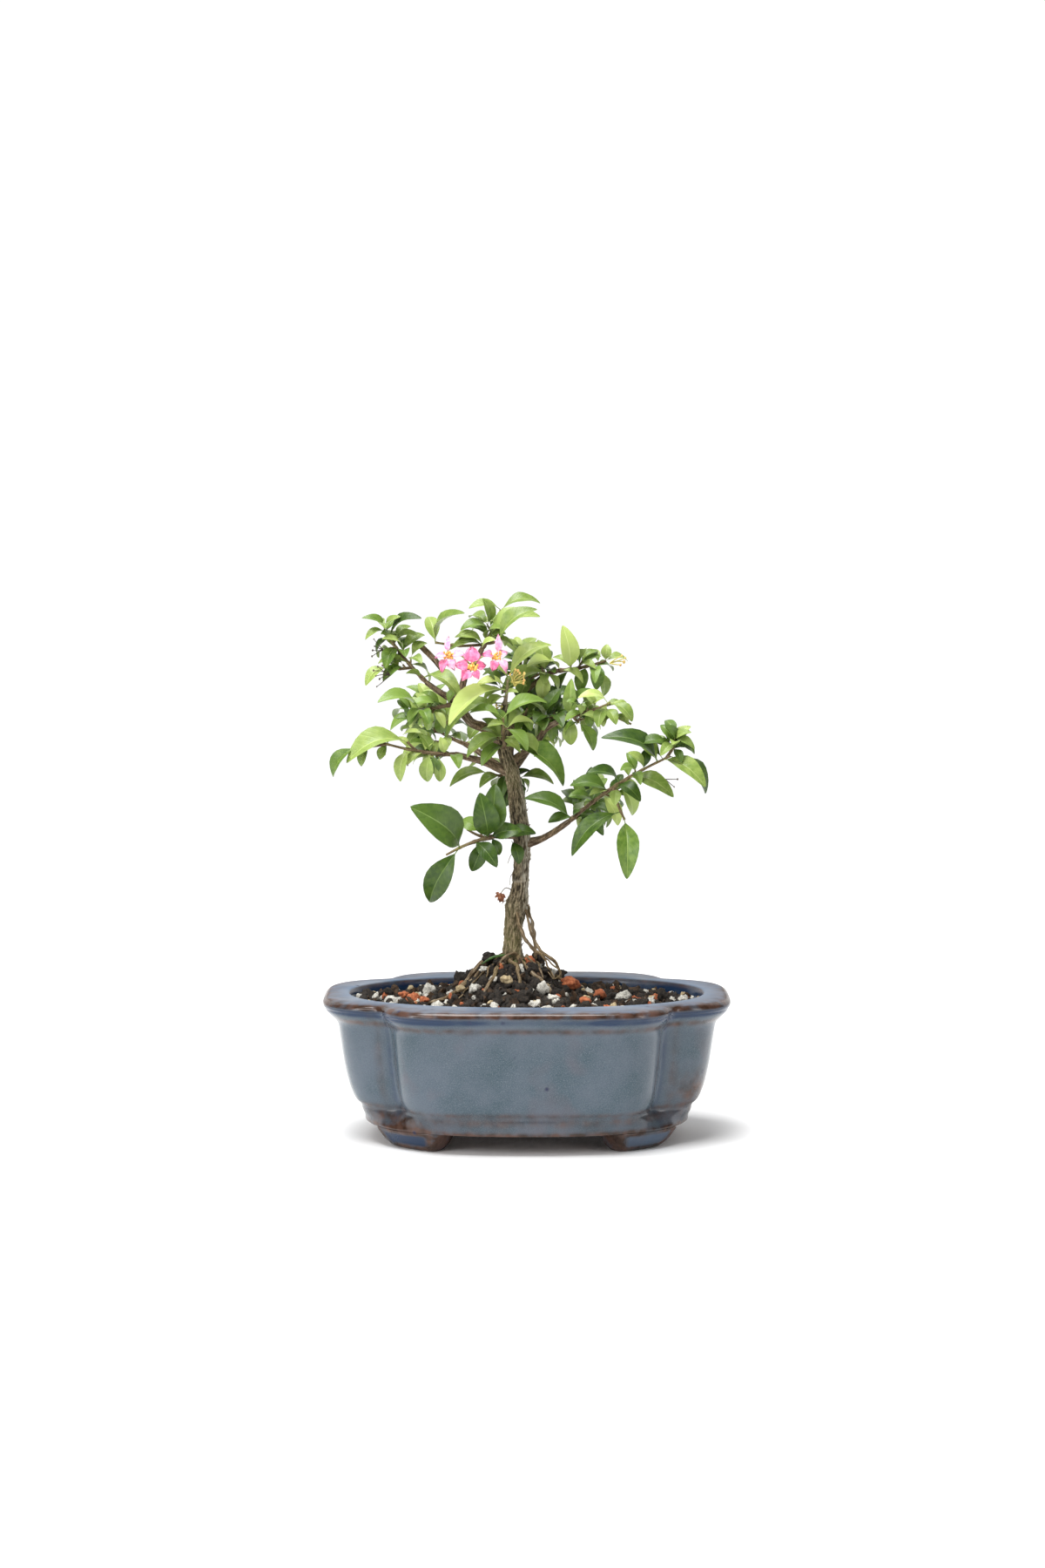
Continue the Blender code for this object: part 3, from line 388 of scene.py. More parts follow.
def foot_parts(side, front):
    """Cage and marks of one foot, before it is subdivided."""
    rows, marks = [], []
    for z, inset, trim in FOOT_LEVELS:
        first, last = (math.radians(a) for a in (FOOT_SPAN[0] + trim, FOOT_SPAN[1] - trim))
        outer, inner = [], []
        for step in range(FOOT_STEPS + 1):
            share = step / FOOT_STEPS
            angle = first + (last - first) * share
            panel = float(abs(share - 0.5) < PANEL_HALF and PANEL_LOW < z < PANEL_HIGH)
            outward = squared_oval(POT_FOOT_OVAL, angle)
            direction = Vector((side * math.cos(angle), front * math.sin(angle), 0.0))
            up = Vector((0, 0, z))
            # panels: pool share larger on the left feet, painted shade; pale share larger on the
            # right, a painted sheen
            outer.append((direction * (outward - inset - PANEL_DEPTH * panel) + up,
                          (1.0 - panel, panel * (0.75 - 0.35 * side), panel * (0.35 + 0.35 * side))))
            inner.append((direction * (outward - FOOT_WIDTH + inset * 0.5) + up, BARE_MARK))
        outline = outer + inner[::-1]
        if side * front < 0:
            outline = outline[::-1]
        rows.append([spot for spot, _ in outline])
        marks += [mark for _, mark in outline]
    points, faces = lofted(rows)
    return points, faces, marks + [BARE_MARK] * 2


for side, side_name in ((-1, "left"), (1, "right")):
    for front, front_name in ((-1, "front"), (1, "rear")):
        foot_points, foot_faces, foot_marks = foot_parts(side, front)
        foot = new_piece(f"foot_{front_name}_{side_name}_glazed", foot_points, foot_faces,
                         blue_glaze, marks=foot_marks)
        rounding = foot.modifiers.new("rounding", "SUBSURF")
        rounding.levels = rounding.render_levels = 2
        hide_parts(f"foot_{front_name}_{side_name}")
        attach(foot, "root")

# -------------------------------------------------------- soil
# Gritty bonsai soil: dark lava and bark, white perlite, fired red clay and a few tan stones. It
# comes up to the rim's inner foot and is heaped round the trunk, on a bed of dark fines whose near
# black stands as painted shade between the stones.
SOIL_EDGE_Z = 66.5
SOIL_TOP_Z = 87.0
MOUND_CENTRE = (-7.0, 0.0)
MOUND_FLAT = 9.5                    # radius of the level top that the trunk stands on
MOUND_HALF = 24.0                   # distance at which the mound has lost half its height
LUMP_SPACING = 7.0                  # half the distance from one lump of coarse grit to the next
LUMP_RISE = 4.0
LUMP_LIMITS = (-0.8, 1.8)
BED_DROP = 1.6                      # the bed of fines, below the level of the stones' tops
BED_STEPS = 96
BED_RINGS = 34
DENSEST = 2e6                       # points a square metre before their spacing thins them


def mound_height(x, y):
    """Height of the soil at a place."""
    away = math.hypot(x - MOUND_CENTRE[0], y - MOUND_CENTRE[1])
    fall = (max(away - MOUND_FLAT, 0.0) / (MOUND_HALF - MOUND_FLAT)) ** 2.2
    return SOIL_EDGE_Z + (SOIL_TOP_Z - SOIL_EDGE_Z) / (1 + fall)


def lump_height(x, y):
    """Rise of the coarse grit over the mound's curve, level near the trunk and the rim."""
    away = math.hypot(x - MOUND_CENTRE[0], y - MOUND_CENTRE[1])
    share = min(max((away - 2 * MOUND_FLAT) / MOUND_FLAT, 0.0), 1.0)
    rise = LUMP_RISE * noise.noise(Vector((x, y, 0.0)) / LUMP_SPACING) + sum(LUMP_LIMITS) / 2
    return share * min(max(rise, LUMP_LIMITS[0]), LUMP_LIMITS[1])


def bed_parts(sides=True):
    """The soil's heaped top, with the ball's sides below it unless they are left out."""
    angles = [2 * math.pi * step / BED_STEPS for step in range(BED_STEPS)]
    rows = []
    if sides:
        rows = [ring(lambda a: squared_oval(POT_MOUTH, a, 19.0, 19.0), angles, POT_FLOOR_Z + 0.3),
                ring(lambda a: squared_oval(POT_MOUTH, a, 9.0, 9.0), angles, 36.0)]
    edge = ring(lambda a: squared_oval(POT_MOUTH, a, 1.6, 1.6), angles, SOIL_EDGE_Z)
    hub = Vector((*MOUND_CENTRE, 0.0))
    for step in range(BED_RINGS):
        row = [hub.lerp(spot, 1 - (step / BED_RINGS)) for spot in edge]
        for spot in row:
            rough = noise.noise(spot * 0.35) * 0.7 + noise.noise(spot * 0.9) * 0.3
            lump = lump_height(spot.x, spot.y) if step else 0.0
            spot.z = mound_height(spot.x, spot.y) + lump - BED_DROP + rough
        rows.append(row)
    return lofted(rows)


def earth_finish(name, dark, light, size, relief, roughness=0.9):
    """A crumbly finish between two colours, rough at the given size."""
    earth = Finish(name, light, roughness)
    earth.colour(earth.patchy(size, 0.36, 0.64, dark, light, 4.0))
    earth.bump(earth.noise(size * 0.35, 4.0), relief, 0.8)
    return earth.material


bed_points, bed_faces = bed_parts()
# dark soil under the grit, painted near black as the shade in the gaps between stones
fines_and_shade = earth_finish("dark_fines", (0.006, 0.005, 0.004), (0.03, 0.021, 0.015), 2.5, 0.6)
bed = new_piece("soil_bed", bed_points, bed_faces, fines_and_shade)
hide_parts("soil")
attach(bed, "root")


def primitive_shape(make, **sizes):
    """Points and faces of a bmesh primitive."""
    shape = bmesh.new()
    make(shape, **sizes)
    shape.verts.index_update()
    points = [v.co.copy() for v in shape.verts]
    faces = [tuple(v.index for v in f.verts) for f in shape.faces]
    shape.free()
    return points, faces


def random_shift(rng):
    return Vector([rng.uniform(-9, 9) for _ in range(3)])


def knocked_ball(detail, size, lumpy, shift, coarse, fine, fine_share):
    """A ball of the given size whose surface is knocked in and out by noise."""
    points, faces = primitive_shape(bmesh.ops.create_icosphere, subdivisions=detail, radius=0.5)
    knocked = []
    for spot in points:
        knock = noise.noise(spot * coarse + shift) + fine_share * noise.noise(spot * fine + shift)
        knocked.append(spot * size * (1 + lumpy * knock))
    return knocked, faces


def stretched(spot, stretch):
    return Vector(part * way for part, way in zip(spot, stretch))


def rock_variant(name, store, rng, detail, stretch, lumpy):
    """One stone of about unit size, knocked out of a ball."""
    points, faces = knocked_ball(detail, 1.0, lumpy, random_shift(rng), 2.6, 6.0, 0.5)
    mesh = bpy.data.meshes.new(name)
    mesh.from_pydata([stretched(spot, stretch) for spot in points], [], faces)
    if detail > 1:
        mesh.shade_smooth()
    store.objects.link(bpy.data.objects.new(name, mesh))


class Growing(Nodes):
    """A Geometry Nodes tree being put together, with named inputs after its geometry."""

    def __init__(self, name, **inputs):
        super().__init__(bpy.data.node_groups.new(name, "GeometryNodeTree"))
        rows = [("Geometry", "Geometry", "INPUT")]
        rows += [(socket.replace("_", " "), kind, "INPUT") for socket, kind in inputs.items()]
        for socket, kind, side in (*rows, ("Geometry", "Geometry", "OUTPUT")):
            self.tree.interface.new_socket(socket, in_out=side, socket_type="NodeSocket" + kind)
        self.given = self.add("NodeGroupInput")

    def attribute(self, name, kind="FLOAT"):
        return self.add("GeometryNodeInputNamedAttribute", {"Name": name},
                        data_type=kind)["Attribute"]

    def scaled(self, vector, by):
        return self.add("ShaderNodeVectorMath", {0: vector, "Scale": by},
                        operation="SCALE")["Vector"]

    def kept(self, curve, name, kind, value):
        """A curve with a value captured on its points, and that value."""
        node = self.tree.nodes.new("GeometryNodeCaptureAttribute")
        node.capture_items.new(kind, name)
        self.feed(node.inputs["Geometry"], curve)
        self.feed(node.inputs[name], value)
        return node.outputs["Geometry"], node.outputs[name]

    def planted(self, points, store, **feeds):
        """Copies of a collection's objects on points."""
        kinds = self.add("GeometryNodeCollectionInfo", {
            "Separate Children": True, "Reset Children": True, "Collection": self.given[store]})
        feeds = {socket.replace("_", " "): value for socket, value in feeds.items()}
        return self.add("GeometryNodeInstanceOnPoints", {
            "Pick Instance": True, "Points": points, "Instance": kinds["Instances"],
            **feeds})["Instances"]

    def finished(self, last, **finishes):
        """The tree, ended by real geometry with a finish for all or for the marked faces."""
        last = self.add("GeometryNodeRealizeInstances", {"Geometry": last})["Geometry"]
        for socket, mark in finishes.items():
            feeds = {"Geometry": last, "Material": self.given[socket]}
            if mark:
                feeds["Selection"] = self.attribute(mark, "BOOLEAN")
            last = self.add("GeometryNodeSetMaterial", feeds)["Geometry"]
        self.feed(self.tree.nodes.new("NodeGroupOutput").inputs["Geometry"], last)
        return self.tree


def scatter_tree():
    """Geometry Nodes that strew stones over a bed, turned and sized by chance."""
    work = Growing("strewn_stones", Stones="Collection", Spacing="Float", Smallest="Float",
                   Largest="Float", Lift="Float", Seed="Int", Finish="Material")
    given = work.given
    strew = work.add("GeometryNodeDistributePointsOnFaces", {
        "Mesh": given["Geometry"], "Density Max": DENSEST, "Distance Min": given["Spacing"],
        "Seed": given["Seed"]}, distribute_method="POISSON")
    raised = work.add("GeometryNodeSetPosition", {
        "Geometry": strew["Points"], "Offset": work.scaled(strew["Normal"], given["Lift"])})
    turn = work.add("FunctionNodeRandomValue", {"Max": (2 * math.pi,) * 3, "Seed": given["Seed"]},
                    data_type="FLOAT_VECTOR")
    size = work.add("FunctionNodeRandomValue", {
        2: given["Smallest"], 3: given["Largest"], "Seed": given["Seed"]}, data_type="FLOAT")
    stones = work.planted(raised["Geometry"], "Stones", Rotation=turn["Value"], Scale=size[1])
    return work.finished(stones, Finish=None)


def cleared(store):
    """Removes a collection of forms once they have been used."""
    for item in list(store.objects):
        bpy.data.objects.remove(item, do_unlink=True)
    bpy.data.collections.remove(store)


def baked(name, source, tree, values, finish):
    """A plain object from a source mesh run through a node tree with the given inputs."""
    holder = bpy.data.objects.new(name + "_source", source)
    bpy.context.scene.collection.objects.link(holder)
    modifier = holder.modifiers.new("grow", "NODES")
    modifier.node_group = tree
    for socket in tree.interface.items_tree:
        if socket.in_out == "INPUT" and socket.name in values:
            modifier[socket.identifier] = values[socket.name]
    bpy.context.view_layer.update()
    evaluated = holder.evaluated_get(bpy.context.evaluated_depsgraph_get())
    mesh = bpy.data.meshes.new_from_object(evaluated)
    mesh.name = name
    bpy.data.objects.remove(holder, do_unlink=True)
    if finish:
        mesh.materials.clear()
        mesh.materials.append(finish)
    item = bpy.data.objects.new(name, mesh)
    bpy.context.scene.collection.objects.link(item)
    return item


def strewn_over(name, surface, stones, sizes, seed, finish):
    """Stones over a surface; the sizes are their spacing, the smallest, the largest, their lift."""
    values = dict(zip(("Spacing", "Smallest", "Largest", "Lift"), (size * MM for size in sizes)))
    return baked(name, surface, strewn, {"Stones": stones, "Seed": seed, "Finish": finish, **values},
                 finish)


# name, finish, then spacing, smallest stone, largest stone and lift, detail, stretch, lumpiness
GRIT_KINDS = (
    ("grit_lava", ("lava", (0.004, 0.003, 0.002), (0.034, 0.024, 0.016), 1.0, 0.6),
     (3.3, 3.2, 7.0, -0.4), 2, (1.0, 0.85, 0.75), 0.75),
    ("grit_bark", ("bark_chips", (0.018, 0.01, 0.005), (0.075, 0.04, 0.018), 1.5, 0.3),
     (8.0, 4.0, 8.5, 0.5), 1, (1.3, 0.7, 0.35), 0.45),
    ("grit_perlite", ("perlite", (0.4, 0.38, 0.33), (0.72, 0.7, 0.63), 0.7, 0.45),
     (13.5, 3.0, 5.6, 0.9), 3, (1.0, 0.8, 0.7), 0.6),
    ("grit_clay", ("fired_clay", (0.26, 0.062, 0.022), (0.46, 0.15, 0.06), 1.1, 0.25),
     (16.0, 2.8, 5.6, 0.9), 2, (1.25, 0.8, 0.5), 0.5),
    ("grit_tan", ("tan_stone", (0.26, 0.19, 0.1), (0.5, 0.4, 0.24), 1.3, 0.2),
     (20.0, 3.0, 6.0, 0.9), 2, (1.2, 0.75, 0.6), 0.35),
    ("grit_fines", ("small_grit", (0.022, 0.015, 0.01), (0.11, 0.075, 0.045), 0.8, 0.2),
     (2.3, 0.7, 1.9, 0.5), 1, (1.0, 0.8, 0.7), 0.4),
)
# stones that stand out: x, y, size, how far the middle stands above the mound
STONES_WHITE = ((-21, -8.5, 4.2, 0.8), (12, -5, 6, 1.5), (8.4, -22, 6.6, 1.2), (12.5, -27, 5, 1.2),
    (-26, -22, 6.6, 1.2), (-67, -14, 6.4, 1.4), (31, 2, 5.6, 1.6), (48, -4, 5.8, 1.6),
    (62, -15, 5, 1.4), (52, -10, 4.6, 1.4), (-49, 3, 6.4, 1.8), (-76, 4, 4, 1.4),
    (11, -44, 5.2, 1.4), (22, -42, 5, 1.4), (-44, -38, 5, 1.4), (-16, -40, 5.2, 1.4),
    (78, -8, 4.6, 1.4), (4, -38, 5.6, 1.4))
STONES_CLAY = ((1.5, -6.5, 6, 1.2), (21.5, -4, 8.6, 1.6), (-57, -12, 6.6, 1.4),
    (36.5, -8, 6.6, 1.6), (-51, -24, 4.6, 1.4), (40, -36, 5, 1.4), (-62, 0, 4.4, 1.6),
    (66, 4, 4.2, 1.6), (29, -30, 5, 1.4))
STONES_TAN = ((42, -40, 7, 1.2), (-79, -16, 6, 1.2), (-33, -14, 4.4, 1.4), (-55, -6, 4.8, 1.4),
    (-10, -20, 5.2, 1))
STONES_DARK = ((-18.5, -3, 7, 3), (-13, -8, 5.4, 1), (6, 4, 7.5, 2.4), (9.5, -8, 6.4, 1.2),
    (3, -12, 7, 0.6), (16, 3, 6.6, 2.2), (-29, 4, 6.4, 1.8), (50, 12, 7.4, 2), (68, -4, 6.6, 1.6),
    (-34, 16, 8, 2.4), (-70, 8, 7, 2), (57, -22, 7.4, 1), (0, -31, 8.4, 0.6), (-36, -30, 7.4, 0.8),
    (-2, -46, 7.6, 0.8))


def lone_stones(name, rows, finish, lumpy, seed):
    """Stones set one by one on the mound, as one piece."""
    rng = random.Random(seed)
    points, faces = [], []
    for x, y, size, stand in rows:
        shift = random_shift(rng)
        turn = Matrix.Rotation(rng.uniform(0, 6.28), 3, shift.normalized())
        middle = Vector((x, y, mound_height(x, y) + lump_height(x, y) + stand))
        first = len(points)
        ball, ball_faces = knocked_ball(3, size, lumpy, shift, 2.4, 6.5, 0.55)
        points += [middle + turn @ stretched(spot, (1.1, 0.85, 0.75)) for spot in ball]
        faces += [tuple(first + index for index in face) for face in ball_faces]
    stones = new_piece(name, points, faces, finish)
    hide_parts("soil")
    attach(stones, "root")


strewn = scatter_tree()
surface = bpy.data.meshes.new("soil_surface")
top_points, top_faces = bed_parts(sides=False)
surface.from_pydata([spot * MM for spot in top_points], [], top_faces[:-2 * BED_STEPS])
grit_finishes = {}
rng = random.Random(11)
for seed, (name, look, sizes, detail, stretch, lumpy) in enumerate(GRIT_KINDS):
    variants = bpy.data.collections.new(name + "_stones")
    for index in range(5):
        rock_variant(f"{name}_stone_{index}", variants, rng, detail, stretch, lumpy)
    finish = grit_finishes[name] = earth_finish(*look)
    grit = strewn_over(name, surface, variants, sizes, seed + 3, finish)
    cleared(variants)
    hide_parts("soil")
    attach(grit, "root")
lone_stones("stones_white", STONES_WHITE, grit_finishes["grit_perlite"], 0.75, 41)
lone_stones("stones_clay", STONES_CLAY, grit_finishes["grit_clay"], 0.5, 42)
lone_stones("stones_tan", STONES_TAN, grit_finishes["grit_tan"], 0.4, 43)
lone_stones("stones_dark", STONES_DARK, grit_finishes["grit_lava"], 0.8, 44)

# -------------------------------------------- trunk and boughs
# One young trunk, 8 mm thick, with a swollen knee, a ring scar and boughs trained outward. The
# bark is thin, brown and stringy, split lengthwise, its splits dark with painted shade deepening
# them, and greyer on its right side.
TRUNK = ((-7, 0, SOIL_TOP_Z - 2, 5), (-7, 0, 93, 4.4), (-6.7, 0, 104, 4.2), (-5, 0, 115.5, 5.2),
    (-3.7, 0, 122, 4.3), (-2.8, 0, 134, 3.7), (-2.4, 0, 148, 4), (-3.9, 0, 160.5, 4.2),
    (-5.6, 0, 173, 3.8), (-7.2, 0, 181.5, 3.5), (-10.4, -0.5, 191, 3.4), (-12, -1.5, 198, 3.1),
    (-12.4, -3, 204, 2.2), (-11.8, -4.2, 211, 1.9), (-11, -5.2, 216.5, 1.6))
FLARE_REACH = 0.45                  # share by which the root flare widens the trunk at the soil
FLARE_LOBES = 4

LIMBS = {
    "bough_left": ((-11.5, -1.2, 196.5, 2.7), (-20.5, -2.5, 204.5, 2.5), (-28, -3.5, 208, 2.2),
        (-34, -3, 217, 2.4)),
    "bough_upper_left": ((-34, -3, 217, 1.7), (-43, -2, 222.5, 1.5), (-49.5, 0, 227, 1.3)),
    "bough_apex": ((-34, -3, 216, 1.8), (-30.5, -1, 231, 1.6), (-25.5, 0, 238, 1.4),
        (-22.5, 0.5, 243.6, 1.3)),
    "stub_upper_left": ((-34, -2, 217, 1.5), (-42.5, 5.5, 234, 1.4), (-53.5, 11.5, 245.5, 1.5)),
    "bough_back": ((-8.6, 0, 186, 2), (-8, 8, 202, 2), (-6, 12, 214, 1.9), (-2, 14, 224, 1.7)),
    "bough_upper_right": ((-4, 13, 219, 1.4), (8, 12.5, 229.5, 1.3), (15, 12, 232.5, 1.2)),
    "bough_right": ((-9, 0, 187, 1.9), (4, 2, 196.5, 1.7), (10, 0, 204.5, 1.5),
        (20.5, -4, 210.6, 1.3)),
    "bough_rear": ((-7.5, 0, 182, 1.8), (-1, 16, 190, 1.6), (4, 28, 196, 1.4)),
    "bough_rear_left": ((-7, 0, 180.5, 1.7), (-20, 13, 189, 1.5), (-31, 21, 195, 1.3)),
    "bough_mid_left": ((-9, 0, 182, 2.1), (-20, -3, 187.5, 1.9), (-28, -6, 190, 1.6),
        (-35, -9, 192, 1.5)),
    "bough_low_right": ((-2.4, 0, 145, 1.9), (10, -5, 151, 1.6), (20.5, -10, 158.5, 1.4)),
    "bough_low_left": ((-3, 0, 150.5, 1.5), (-15.5, -9.5, 151.5, 1.2)),
    "bough_low_rear": ((-2.6, 0, 147.5, 1.5), (10.1, 12, 149.3, 1.3), (20.9, 22, 155.4, 1.2)),
}

FLARE_TOP_Z = 96.3
TUBE_STEPS = 8
BURR = Vector((-8.5, -2.6, 116.0))  # middle of the swollen knee's front
BURR_REACH = 3.4
SCAR_Z = 128.4                      # height of the ring scar
BARE_WOOD = (0.62, 0.52, 0.38)      # colour inside it


def heading_vector(heading, rise):
    """Unit vector from a heading and a rise, both in degrees."""
    turn = math.radians(heading)
    lift = math.radians(rise)
    return Vector((math.cos(lift) * math.cos(turn), math.cos(lift) * math.sin(turn), math.sin(lift)))


def smooth_path(points, step_count=3):
    """Points with radii along a Catmull-Rom curve through the given ones."""
    rows = [Vector(p[:3]) for p in points]
    radii = [p[3] for p in points]
    rows = [2 * rows[0] - rows[1]] + rows + [2 * rows[-1] - rows[-2]]
    path = []
    for index in range(1, len(rows) - 2):
        before, start, end, after = rows[index - 1:index + 3]
        for step in range(step_count):
            t = step / step_count
            spot = 0.5 * ((2 * start) + (end - before) * t
                          + (2 * before - 5 * start + 4 * end - after) * t * t
                          + (3 * start - before - 3 * end + after) * t ** 3)
            path.append((spot, radii[index - 1] * (1 - t) + radii[index] * t))
    path.append((rows[-2], radii[-1]))
    return path


def bark_tree():
    """Geometry Nodes that sweep stringy bark along lines, as thick as their girth."""
    work = Growing("bark_tube", Ring_Spacing="Float", Sides="Int", Relief="Float", Grain="Float",
                   Stretch="Float", Finish="Material")
    given = work.given
    line = work.add("GeometryNodeMeshToCurve", {"Mesh": given["Geometry"]})["Curve"]
    even = work.add("GeometryNodeResampleCurve", {"Curve": line, "Length": given["Ring Spacing"]},
                    mode="LENGTH")["Curve"]
    curve, along = work.kept(even, "along", "FLOAT",
                             work.add("GeometryNodeSplineParameter")["Length"])
    circle = work.add("GeometryNodeCurvePrimitiveCircle", {"Radius": 1.0,
                                                           "Resolution": given["Sides"]})
    profile, around = work.kept(circle["Curve"], "around", "VECTOR",
                                work.add("GeometryNodeInputPosition")["Position"])
    girth = work.attribute("girth")
    tube = work.add("GeometryNodeCurveToMesh", {"Curve": curve, "Profile Curve": profile,
                                                "Scale": girth, "Fill Caps": True})
    split = work.add("ShaderNodeCombineXYZ", {"Z": work.math("MULTIPLY", along, given["Stretch"])})
    place = work.add("ShaderNodeVectorMath", {0: work.scaled(around, girth), 1: split["Vector"]})
    grain = work.add("ShaderNodeTexNoise", {"Vector": place["Vector"], "Scale": given["Grain"],
                                            "Detail": 5.0, "Roughness": 0.65})["Fac"]
    share = work.math("MULTIPLY", work.math("SUBTRACT", grain, 0.5), given["Relief"])
    push = work.scaled(work.add("GeometryNodeInputNormal")["Normal"],
                       work.math("MULTIPLY", share, girth))
    stored = work.add("GeometryNodeStoreNamedAttribute", {"Geometry": tube["Mesh"],
                                                          "Name": "relief", "Value": grain})
    raised = work.add("GeometryNodeSetPosition", {"Geometry": stored["Geometry"], "Offset": push})
    return work.finished(raised["Geometry"], Finish=None)


def line_mesh(name, paths):
    """Edges along paths of (spot, radius, marks), with girth and colour marks on their points."""
    points, edges, girths, marks = [], [], [], []
    for path in paths:
        first = len(points)
        for spot, radius, mark in path:
            points.append(spot * MM)
            girths.append(radius * MM)
            marks += [*mark, 1.0]
        edges += [(index, index + 1) for index in range(first, len(points) - 1)]
    mesh = bpy.data.meshes.new(name)
    mesh.from_pydata(points, edges, [])
    mesh.attributes.new("girth", "FLOAT", "POINT").data.foreach_set("value", girths)
    mesh.attributes.new("marks", "FLOAT_COLOR", "POINT").data.foreach_set("color", marks)
    return mesh


def marked(path, mark):
    """A path whose steps all carry one mark."""
    return [(spot, radius, mark) for spot, radius in path]


def wooden(name, paths, finish, ring_mm=0.6, sides=32, relief=0.2, grain_mm=1.1, stretch=0.16):
    """Tubes of bark along paths, as one smooth object."""
    item = baked(name, line_mesh(name, paths), bark_tube,
                 {"Ring Spacing": ring_mm * MM, "Sides": sides, "Relief": relief,
                  "Grain": 1.0 / (grain_mm * MM), "Stretch": stretch, "Finish": finish}, finish)
    item.data.shade_smooth()
    return item


def bark_finish(name, crack_and_shade, body, ridge, grey, green):
    """Stringy bark, its splits darkened with painted shade; a mark's parts are greenness, greyness and
    a scar's bare wood.
    """
    bark = Finish(name, body, 0.85, Specular_IOR_Level=0.3)
    young, grey_share, scar = bark.marks()
    high = bark.between(bark.attribute("relief")["Fac"], 0.41, 0.6)
    fibre = bark.between(bark.noise(0.5, 4.0, (1.0, 1.0, 0.2)), 0.38, 0.62)
    # the splits, where the relief is low, take the crack colour: dark bark with painted shade
    wood = bark.mix(high, crack_and_shade, bark.mix(fibre, body, ridge))
    patch = bark.between(bark.noise(6.0, 3.0, (1.0, 1.0, 0.5)), 0.35, 0.65, 0.3, 1.3)
    for mark, overlay in ((grey_share, bark.mix(high, body, grey)),
                          (young, bark.mix(fibre, green, ridge))):
        wood = bark.mix(bark.math("MULTIPLY", mark, patch, clamp=True), wood, overlay)
    bark.colour(bark.mix(scar, wood, bark.mix(fibre, grey, BARE_WOOD)))
    bark.bump(fibre, 0.1, 0.8)
    return bark.material


def bough_mark(spot):
    """Greener and greyer in patches that follow noise."""
    shade = noise.noise(spot * 0.11)
    return max(0.0, 0.15 + 0.6 * shade), max(0.0, 0.25 - 0.6 * shade), 0.0


def dressed(path):
    """A path with its marks, its last steps rounded over."""
    rows = [(spot, radius, bough_mark(spot)) for spot, radius in path]
    tip, radius, mark = rows[-1]
    way = (tip - rows[-2][0]).normalized()
    for along, share in ((0.35, 0.94), (0.65, 0.76), (0.85, 0.5), (0.93, 0.25)):
        rows.append((tip + way * (along * radius), radius * share, mark))
    return rows


def dress_trunk(item):
    """The baked trunk's root flare, burr and ring scar, and the marks that colour them."""
    foot = Vector(TRUNK[0][:3])
    marks = item.data.attributes["marks"].data
    for vertex, mark in zip(item.data.vertices, marks):
        spot = vertex.co / MM
        low = 1 - (spot.z - foot.z) / (FLARE_TOP_Z - foot.z)
        if low > 0:
            side = spot - foot
            lobes = 1 + 0.35 * math.cos(FLARE_LOBES * math.atan2(side.y, side.x) + 0.6)
            widen = 1 + FLARE_REACH * low * low * lobes
            spot.x = foot.x + side.x * widen
            spot.y = foot.y + side.y * widen
        middle = Vector((-4.5, 0.0, spot.z))
        outward = (spot - middle).normalized()
        swell = 0.9 * hump((spot - BURR).length, 0.0, BURR_REACH)
        collar = 0.30 * hump(spot.z, SCAR_Z, 0.6) - 0.25 * hump(spot.z, SCAR_Z - 1.0, 0.5)
        knobs = 0.5 * max(0.0, noise.noise(Vector((spot.x, spot.y, spot.z * 0.6)) * 0.42))
        spot += outward * (swell + collar + knobs)
        vertex.co = spot * MM
        right = max(0.0, outward.x) ** 1.5
        left_low = 0.75 * hump(spot.z, 100.0, 14.0) + 0.3 * hump(spot.z, 178.0, 14.0)
        mark.color = (left_low * (1.0 - 0.6 * right), min(1.0, 0.85 * right + 0.1),
                      0.35 * hump(spot.z, SCAR_Z - 0.1, 0.7) * max(0.0, -outward.y), 1.0)


bark_tube = bark_tree()
trunk_finish = bark_finish("stringy_bark", (0.013, 0.009, 0.004), (0.105, 0.074, 0.037),
                           (0.36, 0.28, 0.165), (0.6, 0.57, 0.47), (0.115, 0.118, 0.03))
trunk = wooden("trunk_bark", [dressed(smooth_path(TRUNK, TUBE_STEPS))], trunk_finish,
               ring_mm=0.35, sides=110, relief=0.80, grain_mm=1.0, stretch=0.24)
dress_trunk(trunk)
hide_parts("trunk")
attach(trunk, "root")

bough_finish = bark_finish("bough_bark", (0.026, 0.015, 0.008), (0.13, 0.08, 0.045),
                           (0.29, 0.195, 0.115), (0.36, 0.3, 0.23), (0.11, 0.105, 0.03))
bough_paths = [dressed(smooth_path(points, TUBE_STEPS)) for points in LIMBS.values()]
boughs = wooden("boughs_bark", bough_paths, bough_finish, ring_mm=0.4, sides=40, relief=0.50,
                grain_mm=0.75)
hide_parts(*LIMBS)
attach(boughs, "root")

